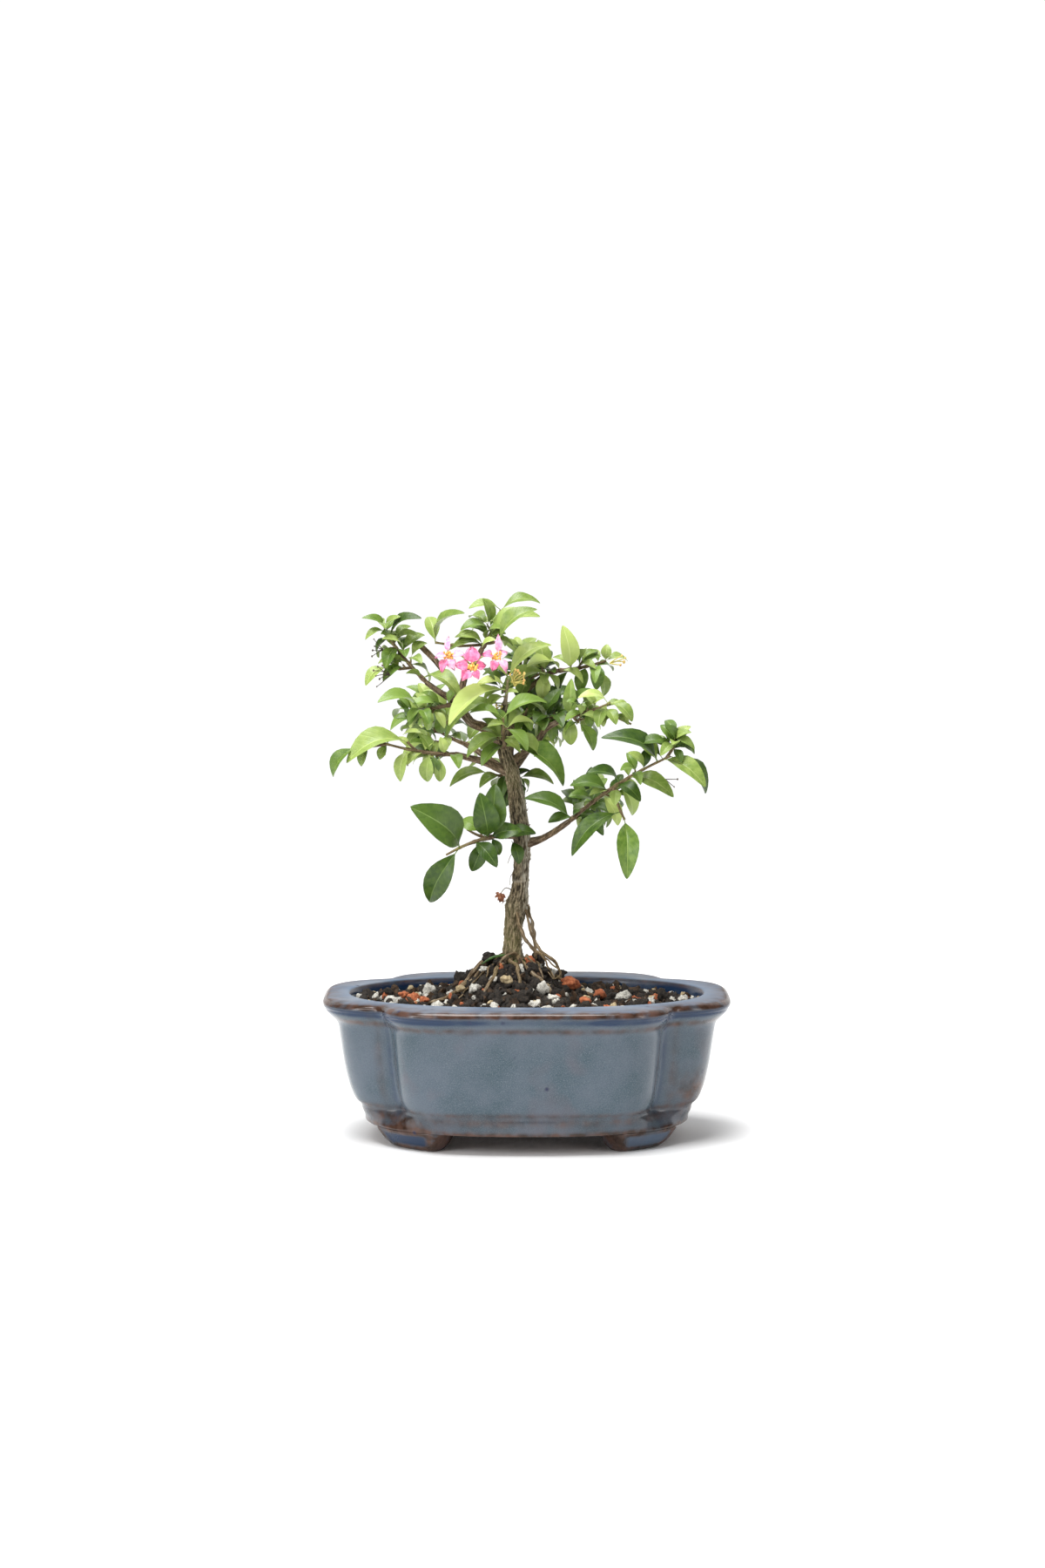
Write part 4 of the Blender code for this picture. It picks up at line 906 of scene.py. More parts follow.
# ----------------------------------------------- showing roots
# Thin tan roots: two have dropped from the knee to the soil like props, and others run out over
# the mound from the trunk's foot before they dive between the stones.
PROP_ROOTS = {
    "prop_root_outer": ((0.3, -2.4, 112, 0.8), (1.6, -3.4, 105, 0.8), (3.4, -4.2, 99, 0.8),
        (7, -5.2, 93, 0.8), (13, -6.6, 89.5, 0.8), (16.4, -9, 84.5, 0.7)),
    "prop_root_inner": ((1, 1.6, 113, 0.8), (2.4, 1.8, 107, 0.8), (3.6, 1.9, 100, 0.8),
        (4.6, 2, 88.9, 0.7)),
}
SURFACE_ROOTS = {
    "root_left": ((190, 15, 1.4), (200, 26, 1.1), (206, 38, 0.9), (210, 50, 0.7)),
    "root_front_left": ((236, 9, 1.2), (244, 17, 1), (238, 27, 0.8)),
    "root_front": ((262, 9, 1.1), (276, 14, 1), (284, 20, 0.8)),
    "root_front_right": ((300, 9.5, 1.2), (304, 17, 1), (312, 25, 0.8)),
    "root_right": ((352, 22, 0.9), (352, 34, 0.8), (356, 44, 0.6)),
}

ROOT_LIFT = 0.8                     # how far a surface root's underside clears the mound's curve
ROOT_START = 3.5                    # distance from the trunk's middle at which they leave it
ASIDE = Vector((31.7, 12.4, 5.9))   # keeps a root's wanderings on its three axes apart


def over_mound(rows):
    """A root along the mound from the trunk's foot, its far end dipping into the grit."""
    heading = rows[0][0]
    rows = ((heading, ROOT_START, rows[0][2] * 1.25), *rows,
            (rows[-1][0], rows[-1][1] + 4.0, rows[-1][2] * 0.6))
    path = []
    rng = random.Random(int(heading * 10))
    for index, (heading, away, radius) in enumerate(rows):
        heading += rng.uniform(-6, 6)
        x = MOUND_CENTRE[0] + away * math.cos(math.radians(heading))
        y = MOUND_CENTRE[1] + away * math.sin(math.radians(heading))
        lift = 2.0 if index == 0 else -2.5 if index == len(rows) - 1 else ROOT_LIFT * 0.6
        path.append((x, y, mound_height(x, y) + radius + lift, radius))
    return crooked(smooth_path(path, TUBE_STEPS), heading)


def crooked(path, seed):
    """A root's path, made to wander a little from side to side and up and down."""
    shift = Vector((seed, 3.7, 9.1))
    rows = []
    for spot, radius in path:
        place = spot * 0.22 + shift
        wander = Vector((noise.noise(place), noise.noise(place + ASIDE),
                         0.45 * noise.noise(place - ASIDE)))
        knobs = 1 + 0.35 * noise.noise(spot * 0.6 + shift)
        rows.append((spot + 1.1 * wander, radius * knobs))
    return rows


def from_knee(points):
    """A prop root, begun inside the trunk's knee above its first point."""
    x, y, z, radius = points[0]
    inside = (x - 3.2, y * 0.3, z + 5.0, radius * 1.3)
    return crooked(smooth_path((inside, *points), TUBE_STEPS), z)


# heading, distance and radius of hair roots, then roots that hang clear of the mound
HAIR_ROOTS = (((205, 4, 0.6), (214, 14, 0.5), (206, 24, 0.45), (216, 34, 0.3)), ((198, 4, 0.9),
    (194, 12, 0.8), (202, 22, 0.7), (199, 32, 0.5)), ((178, 4, 0.6), (182, 12, 0.5),
    (175, 19, 0.4)), ((228, 5, 0.6), (216, 13, 0.5), (232, 20, 0.4)), ((322, 4, 0.9),
    (334, 13, 0.7), (322, 20, 0.5)))
LOOSE_ROOTS = (((-5.6, -2, 116, 1), (-4.4, -5.2, 110.5, 0.95), (-2.4, -6.2, 104, 0.9),
    (1.2, -6, 96.6, 0.85), (5.2, -5.6, 92.6, 0.8), (11, -6.8, 90.4, 0.75), (15.6, -8.2, 87, 0.65),
    (16.6, -9.6, 81, 0.55)), ((4.6, -4.8, 93.4, 0.6), (8.8, -7.6, 90, 0.55), (11.4, -10, 85, 0.5),
    (13.8, -12, 80.4, 0.4)), ((6.2, -5, 92, 0.5), (12, -9, 88, 0.42), (17.4, -10.6, 83, 0.36),
    (13.6, -12.2, 80.6, 0.36), (10.4, -11.6, 84.6, 0.3)), ((-5, -4, 92, 0.8), (-9, -8, 91.6, 0.75),
    (-13.2, -10.4, 88.4, 0.7), (-15.2, -13.6, 83, 0.6), (-18.4, -16, 79.8, 0.5)),
    ((0.2, -4, 91, 0.8), (1.4, -8.4, 89.6, 0.75), (5.4, -11.4, 86.4, 0.6), (8, -14.4, 81.2, 0.5)))
root_finish = bark_finish("root_bark", (0.045, 0.026, 0.012), (0.16, 0.1, 0.05),
                          (0.33, 0.235, 0.13), (0.42, 0.36, 0.26), (0.105, 0.095, 0.03))
root_paths = [dressed(from_knee(points)) for points in PROP_ROOTS.values()]
root_paths += [dressed(over_mound(rows)) for rows in HAIR_ROOTS]
root_paths += [dressed(crooked(smooth_path(points, 6), index))
               for index, points in enumerate(LOOSE_ROOTS)]
root_paths += [dressed(over_mound(rows)) for rows in SURFACE_ROOTS.values()]
roots = wooden("roots_bark", root_paths, root_finish, ring_mm=0.5, sides=20, relief=0.35,
               grain_mm=0.7)
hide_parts(*PROP_ROOTS, *SURFACE_ROOTS)
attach(roots, "root")

# ----------------------------------------------------- foliage
# Green shoots grow on from the limbs with opposite leaves, each leaf a thin glossy blade folded
# along a pale midrib and arched to the light. Young shoots are yellow green, old ones deep; the
# deep green also stands as painted shade low, inside and at the back of the crown, and the paler
# greens partly as painted light on its top.
CLEAR = 0.3
LIGHT = Vector((0.0, -0.75, 0.66))   # leaves turn their faces this way
LEAF_THICK = 0.5
LEAF_SINK = 0.5
LEAF_ARCH = 0.13
LEAF_FOLD = 0.30
LEAF_NECK = 2.2
LEAF_LEANS = (0.0, -0.3, 0.3, -0.6, 0.6, -0.9, 0.9)
STEM_RADIUS = 1.35
SHOOT_BEND = 10.0
STEM_STEPS = 4
SHOOT_RADIUS = 1.0
TIP_RADIUS = 0.65
TRIM_STEP = 0.2

# "stem" is heading, rise and length, and its bend where that differs. A row in "leaves" is a
# place on the stem and each leaf's lean as seen from the front with its length. A row in
# "shoots" is a place on the stem, heading, rise, length and leaves. "fill" is a count of seeded
# shoots, their length and their leaves' length.
MASSES = {
    "foliage_low_right": dict(
        on="bough_low_right", stem=(332, 32, 66, -12), seed=3,
        leaves=((0.02, 150, 24, 15, 12), (0.05, 188, 12, 55, 6), (0.27, 165, 12, 228, 15),
            (0.36, 140, 12, 300, 16), (0.42, 168, 18, 188, 9), (0.5, 335, 12, 60, 6),
            (0.53, 155, 16, 295, 17), (0.62, 345, 21, 95, 7), (0.76, 130, 11, 80, 10),
            (0.89, 149, 28, 125, 15), (0.94, 331, 22, 152, 17), (1, 0, 0, 319, 25)),
        shoots=((0.47, 322, -66, 17, ((0.75, 216, 30, 0, 0), (1, 272, 25, 0, 0))),
            (0.97, 350, 62, 9, ((0.5, 150, 9, 20, 9), (1, 115, 9, 50, 10))))),
    "foliage_low_left": dict(
        on="bough_low_left", stem=(209, -16, 29, -14), seed=5,
        leaves=((0.07, 18, 15, 298, 10), (0.14, 98, 22, 82, 27), (0.22, 78, 14, 249, 17),
            (0.42, 317, 18, 0, 0), (0.73, 132, 30, 240, 32)),
        shoots=((0.16, 185, 24, 11, ()),)),
    "foliage_front": dict(
        on=("trunk", 194, 268), stem=(268, 52, 22), seed=7,
        leaves=((0.05, 208, 10, 350, 9), (0.12, 215, 15, 329, 28), (0.45, 203, 19, 333, 20),
            (1, 167, 16, 22, 22))),
    "foliage_leader": dict(
        on="trunk", stem=(300, 75, 13), seed=28,
        leaves=((0.02, 206, 32, 340, 22), (0.62, 207, 31, 24, 20), (0.7, 172, 16, 8, 9),
            (1, 110, 9, 60, 24))),
    "foliage_upper_left": dict(
        on="bough_upper_left", stem=(155, 47, 34), seed=2,
        leaves=((0.1, 342, 19, 160, 8), (0.4, 177, 15, 322, 13), (0.72, 240, 12, 280, 8),
            (0.78, 24, 13, 130, 7), (0.9, 36, 18, 225, 10), (1, 143, 13, 52, 10)),
        shoots=((0.33, 190, 0, 13, ((0.5, 150, 8, 200, 9), (1, 213, 12, 0, 0))),)),
    "foliage_left": dict(
        on=("bough_left", 216, 195), stem=(197, -8, 18), seed=4,
        leaves=((0.1, 60, 9, 218, 14), (0.45, 168, 13, 215, 10), (0.8, 228, 12, 120, 9),
            (1, 163, 19, 235, 9))),
    "foliage_mid_left": dict(
        on="bough_mid_left", stem=(204, 10, 39), seed=6,
        leaves=((0.02, 300, 9, 196, 8), (0.16, 100, 8, 75, 9), (0.36, 262, 14, 120, 10),
            (0.44, 214, 10, 60, 9), (0.66, 252, 15, 130, 8), (0.95, 240, 8, 110, 6),
            (1, 200, 11, 265, 6)),
        shoots=((0.55, 215, 42, 7, ((1, 194, 29, 0, 0),)),
            (0.98, 195, -4, 14, ((0.6, 245, 10, 120, 6), (1, 228, 16, 0, 0))))),
    "foliage_apex": dict(
        on="bough_apex", stem=(38, 58, 23), seed=9,
        leaves=((0.08, 157, 14, 178, 15), (0.2, 31, 28, 47, 16), (0.35, 350, 9, 150, 10),
            (0.72, 200, 12, 20, 9), (1, 174, 15, 16, 19)),
        shoots=((0.16, 300, 8, 14, ((1, 43, 23, 200, 9),)),
            (0.12, 172, 2, 25, ((0.5, 60, 9, 210, 8), (1, 50, 20, 105, 13))))),
    "foliage_back": dict(
        on="bough_back", stem=(100, 66, 14), seed=10,
        leaves=((0.1, 200, 12, 340, 12), (0.45, 170, 18, 20, 13), (0.75, 100, 12, 30, 13),
            (1, 130, 13, 60, 14)),
        shoots=((0.3, 330, 20, 14, ((0.4, 240, 14, 60, 12), (1, 265, 14, 100, 15))),)),
    "foliage_upper_right": dict(
        on="bough_upper_right", stem=(26, 9, 28), seed=11,
        leaves=((0.05, 166, 21, 336, 12), (0.26, 98, 18, 250, 14), (0.45, 120, 11, 30, 12),
            (0.6, 255, 13, 60, 11), (0.85, 265, 12, 112, 9), (1, 85, 8, 2, 11))),
    "foliage_right": dict(
        on="bough_right", stem=(326, 17, 26), seed=12,
        leaves=((0.06, 92, 17, 268, 14), (0.14, 60, 15, 311, 16), (0.4, 290, 8, 200, 10),
            (0.62, 300, 9, 120, 9), (0.95, 158, 14, 250, 8), (1, 323, 13, 340, 10)),
        shoots=((0.1, 300, -30, 6, ((1, 300, 15, 220, 9),)),
            (0.8, 350, -30, 17, ((0.4, 330, 9, 210, 8),)))),
    "foliage_trunk": dict(
        on=("trunk", 172, 100), stem=(110, 35, 13), seed=13,
        leaves=((0.6, 260, 12, 300, 12), (1, 255, 12, 306, 13)),
        shoots=((0.9, 182, 8, 9, ((1, 192, 20, 0, 0),)),
            (0.8, 2, 0, 6, ((1, 356, 16, 300, 8),)))),
    "foliage_rear": dict(on="bough_rear", stem=(80, 20, 24), seed=14, fill=(6, 13, 16)),
    "foliage_rear_left": dict(on="bough_rear_left", stem=(140, 20, 26), seed=15, fill=(6, 13, 16)),
    "foliage_rear_low": dict(on="bough_low_rear", stem=(55, 22, 20), seed=16, fill=(4, 11, 15)),
    "foliage_inner_right": dict(
        on=("bough_back", 207, 350), stem=(350, 10, 14), seed=17, fill=(4, 10, 14)),
}


def side_and_up(way, facing):
    """The crosswise and the upper direction of a leaf that grows one way and faces another."""
    side = facing.cross(way).normalized()
    return side, way.cross(side).normalized()


def leaf_shape(template, base, direction, facing, length, width, fold, extra=0.0, root=LEAF_SINK):
    """A folded, arched leaf of twelve faces with a keel, its root run on behind its base."""
    points, faces = template
    reach = max(spot.z for spot in points)
    side, up = side_and_up(direction, facing)
    placed = []
    for spot in points:
        t = (spot.z / reach + 1) / 2
        across = spot.y / math.sqrt(0.75) * width * (0.47 - 0.08 * spot.z)
        thick = -spot.x * (LEAF_THICK + extra) / 2
        rise = LEAF_ARCH * length * 4 * t * (1 - t) + fold * abs(across) + thick
        along = -root if t < 0.01 else t * length
        placed.append(base + direction * along + side * across + up * rise)
    return placed, faces


def twig_shape(template, start, end, start_radius, end_radius):
    """A three-sided twig between two points, run on a little at both ends."""
    points, faces = template
    axis = (end - start).normalized()
    turn = axis.to_track_quat("Z", "Y")
    length = (end - start).length
    placed = []
    for spot in points:
        top = spot.z > 0
        radius = end_radius if top else start_radius
        along = length + 0.3 * end_radius if top else 0.0
        placed.append(start + turn @ Vector((spot.x * radius, spot.y * radius, along)))
    return placed, faces


def entry(shape, owner=None):
    """A shape's tree, its lowest and highest corner and its owner, for the crossing test."""
    low, high = ([pick(axis) for axis in zip(*shape[0])] for pick in (min, max))
    return BVHTree.FromPolygons(*shape), low, high, owner


def meets(shape, others):
    """Whether a shape crosses any of the others."""
    tree, low, high, _ = entry(shape)
    for other_tree, other_low, other_high, _ in others:
        apart = any(low[i] > other_high[i] or other_low[i] > high[i] for i in range(3))
        if not apart and tree.overlap(other_tree):
            return True
    return False


def shoot_points(start, heading, rise, length, steps, bend=SHOOT_BEND):
    """Points along a shoot, whose rise grows by the bend from its first step to its last."""
    spots = [start]
    for step in range(steps):
        turned = rise + bend * (step / max(steps - 1, 1) - 0.5)
        spots.append(spots[-1] + heading_vector(heading, turned) * (length / steps))
    return spots


def place_on(spots, share):
    """Point and direction at a share of the way along a shoot."""
    reach = share * (len(spots) - 1)
    index = min(int(reach), len(spots) - 2)
    start, end = spots[index], spots[index + 1]
    return start.lerp(end, reach - index), (end - start).normalized()


def front_way(lean, forward):
    """Unit vector from a lean as seen from the front and a turn to the viewer, in degrees."""
    turn, out = math.radians(lean), math.radians(forward)
    return Vector((math.cos(turn) * math.cos(out), -math.sin(out), math.sin(turn) * math.cos(out)))


def leaf_rows(rows, rng):
    """Leaf directions from rows of leans: each pair leans to and from the front by chance."""
    leaves = []
    for place, lean_a, length_a, lean_b, length_b in rows:
        outs = (rng.uniform(0, 40), rng.uniform(-38, 12))
        for lean, length, out in ((lean_a, length_a, outs[0]), (lean_b, length_b, outs[1])):
            if length:
                leaves.append((place, front_way(lean, out), length / math.cos(math.radians(out))))
    return leaves


def seeded_shoots(stem, fill, rng):
    """Shoots that leave the stem by turns on its two sides, each with crossed pairs of leaves."""
    count, shoot_length, leaf_length = fill
    heading, rise = stem[:2]
    shoots = []
    for index in range(count):
        side = 1 if index % 2 else -1
        place = 0.15 + 0.85 * index / max(count - 1, 1)
        turn = heading + side * rng.uniform(30, 75) * (1.2 - place)
        lift = rise + rng.uniform(-25, 45)
        reach = shoot_length * rng.uniform(0.75, 1.2)
        shoots.append((place, turn, lift, reach, rng.uniform(0, 90), leaf_length))
    return shoots


def crossed_pairs(axis, roll, leaf_length, rng, pairs=3):
    """Opposite leaves on a seeded shoot, each pair turned a quarter from the last."""
    flat = axis.cross(Vector((0, 0, 1))).normalized()
    leaves = []
    for pair in range(pairs):
        turn = math.radians(roll + 90 * pair)
        side = flat * math.cos(turn) + axis.cross(flat) * math.sin(turn)
        spread = math.radians(62 - 20 * pair / max(pairs - 1, 1))
        for sign in (-1, 1):
            way = axis * math.cos(spread) + side * (sign * math.sin(spread)) + Vector((0, 0, -0.12))
            length = leaf_length * rng.uniform(0.8, 1.15)
            leaves.append(((pair + 1) / pairs, way.normalized(), length))
    return leaves


def node_shape(name):
    """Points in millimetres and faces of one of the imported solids."""
    mesh = bpy.data.objects[name].data
    return [v.co / MM for v in mesh.vertices], [tuple(p.vertices) for p in mesh.polygons]


def clear_start(path, template, limbs):
    """The path, its start drawn back along its first step until it stands clear of the limbs."""
    (start, radius), (after, next_radius) = path[:2]
    way = (after - start).normalized()
    while (after - start).length > TRIM_STEP:
        shape = twig_shape(template, start - way * CLEAR, after, radius + CLEAR, next_radius + CLEAR)
        if not meets(shape, limbs):
            return [(start, radius)] + path[1:]
        start = start + way * TRIM_STEP
    return clear_start(path[1:], template, limbs)


class Growth:
    """Grows the masses in turn, keeping every shoot and leaf, and what room they take."""

    def __init__(self, limbs):
        self.leaf = primitive_shape(bmesh.ops.create_uvsphere, u_segments=3, v_segments=3,
                                    radius=2 / math.sqrt(3))
        self.twig = primitive_shape(bmesh.ops.create_cone, cap_ends=True, segments=3, radius1=1.0,
                                    radius2=1.0, depth=2.0)
        self.limbs = [entry(node_shape(name), "limb") for name in limbs]
        self.taken = []
        self.shoots = {}
        self.leaves = {}
        self.skipped = []

    def start_of(self, on):
        """Where a mass's stem starts, and the limb's radius there."""
        if isinstance(on, str):
            path = TRUNK if on == "trunk" else LIMBS[on]
            return Vector(path[-1][:3])
        limb, z, heading = on
        path = smooth_path(TRUNK if limb == "trunk" else LIMBS[limb])
        spot, radius = min(path, key=lambda row: abs(row[0].z - z))
        return spot + heading_vector(heading, 0) * radius

    def add_twigs(self, name, spots, radii):
        """Twigs along a shoot, up to the first that would touch a limb or another mass."""
        kept = [spots[0]]
        is_stem = not self.shoots[name]
        for index, (start, end) in enumerate(zip(spots, spots[1:])):
            shape = twig_shape(self.twig, start, end, radii[index] + CLEAR, radii[index + 1] + CLEAR)
            others = [row for row in self.taken if row[-1] != name]
            limbs = [] if is_stem and index == 0 else self.limbs
            if meets(shape, limbs + others):
                break
            self.taken.append(entry(twig_shape(self.twig, start, end, radii[index],
                                               radii[index + 1]), name))
            kept.append(end)
        if len(kept) > 1:
            self.shoots[name].append(list(zip(kept, radii)))
        return kept

    def add_leaf(self, name, base, way, length, rng, slim=1.0, gap=2 * CLEAR):
        """One leaf. Where its room is taken it leans to the front or back, and then is skipped."""
        facing = LIGHT + Vector((rng.uniform(-0.3, 0.3), rng.uniform(-0.2, 0.2), 0.0))
        width = (0.34 * length + 2.2) * rng.uniform(0.86, 1.16) * slim
        fold = LEAF_FOLD * rng.uniform(0.4, 1.4)
        own = [row for row in self.taken if row[-1] == name]
        strangers = self.limbs + [row for row in self.taken if row[-1] != name]
        for lean in LEAF_LEANS:
            turned = (way + Vector((0.0, lean, 0.0))).normalized()
            whole = leaf_shape(self.leaf, base, turned, facing, length, width, fold, extra=gap)
            blade = leaf_shape(self.leaf, base + turned * LEAF_NECK, turned, facing,
                               length - LEAF_NECK, width * 0.96, fold, extra=gap, root=0.0)
            if meets(blade, own) or meets(whole if slim == 1.0 else blade, strangers):
                continue
            shape = leaf_shape(self.leaf, base, turned, facing, length, width, fold)
            self.taken.append(entry(shape, name))
            self.leaves[name].append((base, turned, facing, length, width / slim))
            return
        self.skipped.append((name, base, way, length))

    def grow(self, name, spec):
        """All shoots and leaves of one mass."""
        rng = random.Random(spec["seed"])
        self.shoots[name], self.leaves[name] = [], []
        spots = shoot_points(self.start_of(spec["on"]), *spec["stem"][:3], STEM_STEPS,
                             *spec["stem"][3:])
        radii = [STEM_RADIUS + (TIP_RADIUS - STEM_RADIUS) * i / STEM_STEPS
                 for i in range(STEM_STEPS + 1)]
        path = clear_start(list(zip(spots, radii)), self.twig, self.limbs)
        spots, radii = [row[0] for row in path], [row[1] for row in path]
        stem = self.add_twigs(name, spots, radii)
        leaves = [(place_on(stem, place)[0], way, size)
                  for place, way, size in leaf_rows(spec.get("leaves", ()), rng)]
        shoots = [(*shoot, leaf_rows(rows, rng)) for *shoot, rows in spec.get("shoots", ())]
        if "fill" in spec:
            for *shoot, roll, size in seeded_shoots(spec["stem"], spec["fill"], rng):
                axis = heading_vector(shoot[1], shoot[2])
                shoots.append((*shoot, crossed_pairs(axis, roll, size, rng)))
        for place, turn, lift, reach, rows in shoots:
            start = place_on(stem, place)[0]
            twig = self.add_twigs(name, shoot_points(start, turn, lift, reach, 2),
                                  [SHOOT_RADIUS, (SHOOT_RADIUS + TIP_RADIUS) / 2, TIP_RADIUS])
            if len(twig) == 3:
                leaves += [(place_on(twig, place)[0], way, size) for place, way, size in rows]
        for base, way, size in leaves:
            self.add_leaf(name, base, way, size, rng)


growth = Growth(["trunk", *LIMBS])
for mass, spec in MASSES.items():
    growth.grow(mass, spec)

# Leaves that found no room as thick solids fit as thin blades
THIN_SLIM = 0.72
THIN_GAP = -0.3
rng = random.Random(2)
for mass, base, way, length in list(growth.skipped):
    growth.add_leaf(mass, base, way, length, rng, slim=THIN_SLIM, gap=THIN_GAP)

# Finer growth: small sprays in the axils, kept close to what the rule has already grown
FINE_REACH = 4.0                    # how far a fine leaf's tip may be from the mass's solid
FINE_TRIES = {"foliage_low_left": 2, "foliage_low_right": 12, "foliage_upper_left": 10,
              "foliage_leader": 4, "foliage_front": 4, "foliage_apex": 10}
FINE_DEFAULT = 16
FINE_LEAF = (9.0, 14.0)
FINE_RADII = (0.6, 0.5, 0.4)


def add_fine_growth(name, spec):
    """Small sprays and single leaves along a mass's shoots, where there is room for them."""
    rng = random.Random(spec["seed"] + 100)
    solid = entry(node_shape(name))[0]
    first_shoots = list(growth.shoots[name])
    for _ in range(FINE_TRIES.get(name, FINE_DEFAULT)):
        shoot = rng.choice(first_shoots)
        base, axis = place_on([row[0] for row in shoot], rng.uniform(0.1, 1.0))
        roll = rng.uniform(0, 2 * math.pi)
        flat = axis.orthogonal().normalized()
        side = flat * math.cos(roll) + axis.cross(flat) * math.sin(roll)
        way = (axis * rng.uniform(0.3, 0.9) + side + Vector((0, 0, 0.25))).normalized()
        reach = rng.uniform(2.0, 4.5)
        size = rng.uniform(*FINE_LEAF)
        tip = base + way * (reach + size * 0.7)
        if solid.find_nearest(tip)[3] > FINE_REACH:
            continue
        spots = [base, base + way * reach * 0.5, base + way * reach]
        before = len(growth.leaves[name])
        for place, leaf_way, length in crossed_pairs(way, math.degrees(roll), size, rng, pairs=2):
            growth.add_leaf(name, place_on(spots, place)[0], leaf_way, length, rng)
        if len(growth.leaves[name]) > before:
            growth.shoots[name].append(list(zip(spots, FINE_RADII)))


for mass, spec in MASSES.items():
    add_fine_growth(mass, spec)

# A leaf's blade, at unit length and width; rows run from the stalk's top to the tip
PETIOLE = 0.09
BLADE_ROWS = 12
BLADE_THICK = 0.012                 # share of the leaf's length
VEIN_PAIRS = 9.0
VEIN_SLANT = -0.55                  # how far a side vein runs on towards the tip, per unit outward
BLADE_COLUMNS = (-1.0, -0.72, -0.38, -0.035, 0.035, 0.38, 0.72, 1.0)
# fullness towards the tip, fold, bend to one side, droop of the tip, waviness of the edge
LEAF_FORMS = ((1, 0.3, 0, 0.05, 0.006), (1.12, 0.22, 0.04, 0.09, 0.009),
    (0.92, 0.38, -0.05, 0.06, 0.005), (1.18, 0.28, 0.06, 0.03, 0.01),
    (1.05, 0.18, -0.07, 0.11, 0.008), (1.1, 0.34, 0.03, 0.08, 0.012),
    (0.88, 0.26, -0.03, 0.1, 0.007), (1.15, 0.4, 0.07, 0.05, 0.008))


def closed_sheet(rows, width):
    """Faces of a thin closed sheet: two levels of points that share their rim, back one first."""
    def index(level, row, column):
        rim = column in (0, width - 1) or row in (0, rows)
        return (0 if rim else level * width * (rows + 1)) + row * width + column

    faces = []
    for level in (0, 1):
        for row in range(rows):
            for column in range(width - 1):
                face = (index(level, row, column), index(level, row + 1, column),
                        index(level, row + 1, column + 1), index(level, row, column + 1))
                faces.append(face if level else face[::-1])
    return faces


def point_values(mesh, name, kind, values, domain="POINT"):
    """Writes a named value for each point or face of a mesh."""
    key = {"FLOAT_COLOR": "color", "FLOAT_VECTOR": "vector"}.get(kind, "value")
    mesh.attributes.new(name, kind, domain).data.foreach_set(key, values)


def arch(along):
    """How far a leaf's arch lifts it at a share of its length."""
    return 1.45 * LEAF_ARCH * 4 * along * (1 - along)


def blade_spot(form, t, v, thick):
    """A point of the blade at a share of its length and of its half width."""
    fullness, fold, bend, droop, wave = form
    swell = max(math.sin(math.pi * min(t ** fullness, 1.0)), 0.0)
    half = max(0.52 * swell ** (0.92 - 0.32 * t), 0.022)
    y = v * half + bend * math.sin(math.pi * t) * 0.5
    along = PETIOLE + (1 - PETIOLE) * t
    lift = arch(along) - 1.4 * droop * t ** 3
    ripple = wave * math.sin(t * 13.0 + 2.0 * v) * v * v
    gutter = -0.006 if abs(v) < 0.1 else 0.0
    return (along, y, lift + fold * 0.5 * abs(v) * half + ripple + gutter - thick)


def leaf_template(name, store, form):
    """One leaf: a thin closed blade on a short stalk, with marked midrib and underside faces."""
    points = []
    width = len(BLADE_COLUMNS)
    for thick in (0.0, BLADE_THICK):
        for row in range(BLADE_ROWS + 1):
            t = 0.5 - 0.5 * math.cos(math.pi * row / BLADE_ROWS)
            for column in BLADE_COLUMNS:
                rim = abs(column) == 1.0 or row in (0, BLADE_ROWS)
                points.append(blade_spot(form, t, column, 0.0 if rim else thick))
    faces = closed_sheet(BLADE_ROWS, width)
    unders = [face >= len(faces) // 2 for face in range(len(faces))]
    ribs = [column == width // 2 - 1 for column in range(width - 1)] * (2 * BLADE_ROWS)
    first = len(points)
    for along, lift in ((0.0, -0.002), (PETIOLE * 0.6, 0.0), (PETIOLE + 0.02, 0.0)):
        rise = arch(along) + lift
        points += [(along, -0.022, rise), (along, 0.0, rise + 0.012), (along, 0.022, rise),
                   (along, 0.0, rise - 0.016)]
    for a in (first, first + 4):
        faces += [(a + side, a + (side + 1) % 4, a + (side + 1) % 4 + 4, a + side + 4)
                  for side in range(4)]
    faces += [tuple(range(first + 3, first - 1, -1)), tuple(range(first + 8, first + 12))]
    ribs += [True] * (len(faces) - len(ribs))
    unders += [False] * (len(faces) - len(unders))
    mesh = bpy.data.meshes.new(name)
    mesh.from_pydata(points, [], faces)
    mesh.validate()
    mesh.shade_smooth()
    mesh.set_sharp_from_angle(angle=math.radians(80))
    point_values(mesh, "rib", "BOOLEAN", ribs, "FACE")
    point_values(mesh, "under", "BOOLEAN", unders, "FACE")
    layer = mesh.uv_layers.new(name="UVMap")
    for loop in mesh.loops:
        spot = mesh.vertices[loop.vertex_index].co
        layer.data[loop.index].uv = (spot.x, spot.y + 0.5)
    store.objects.link(bpy.data.objects.new(name, mesh))


def leaf_tree():
    """Geometry Nodes that set a leaf on every point, turned and sized as the point says."""
    work = Growing("set_leaves", Leaves="Collection", Blade="Material", Rib="Material",
                   Underside="Material")
    leaves = work.planted(work.given["Geometry"], "Leaves",
                          Instance_Index=work.attribute("form", "INT"),
                          Rotation=work.attribute("turn", "FLOAT_VECTOR"),
                          Scale=work.attribute("size", "FLOAT_VECTOR"))
    return work.finished(leaves, Blade=None, Rib="rib", Underside="under")


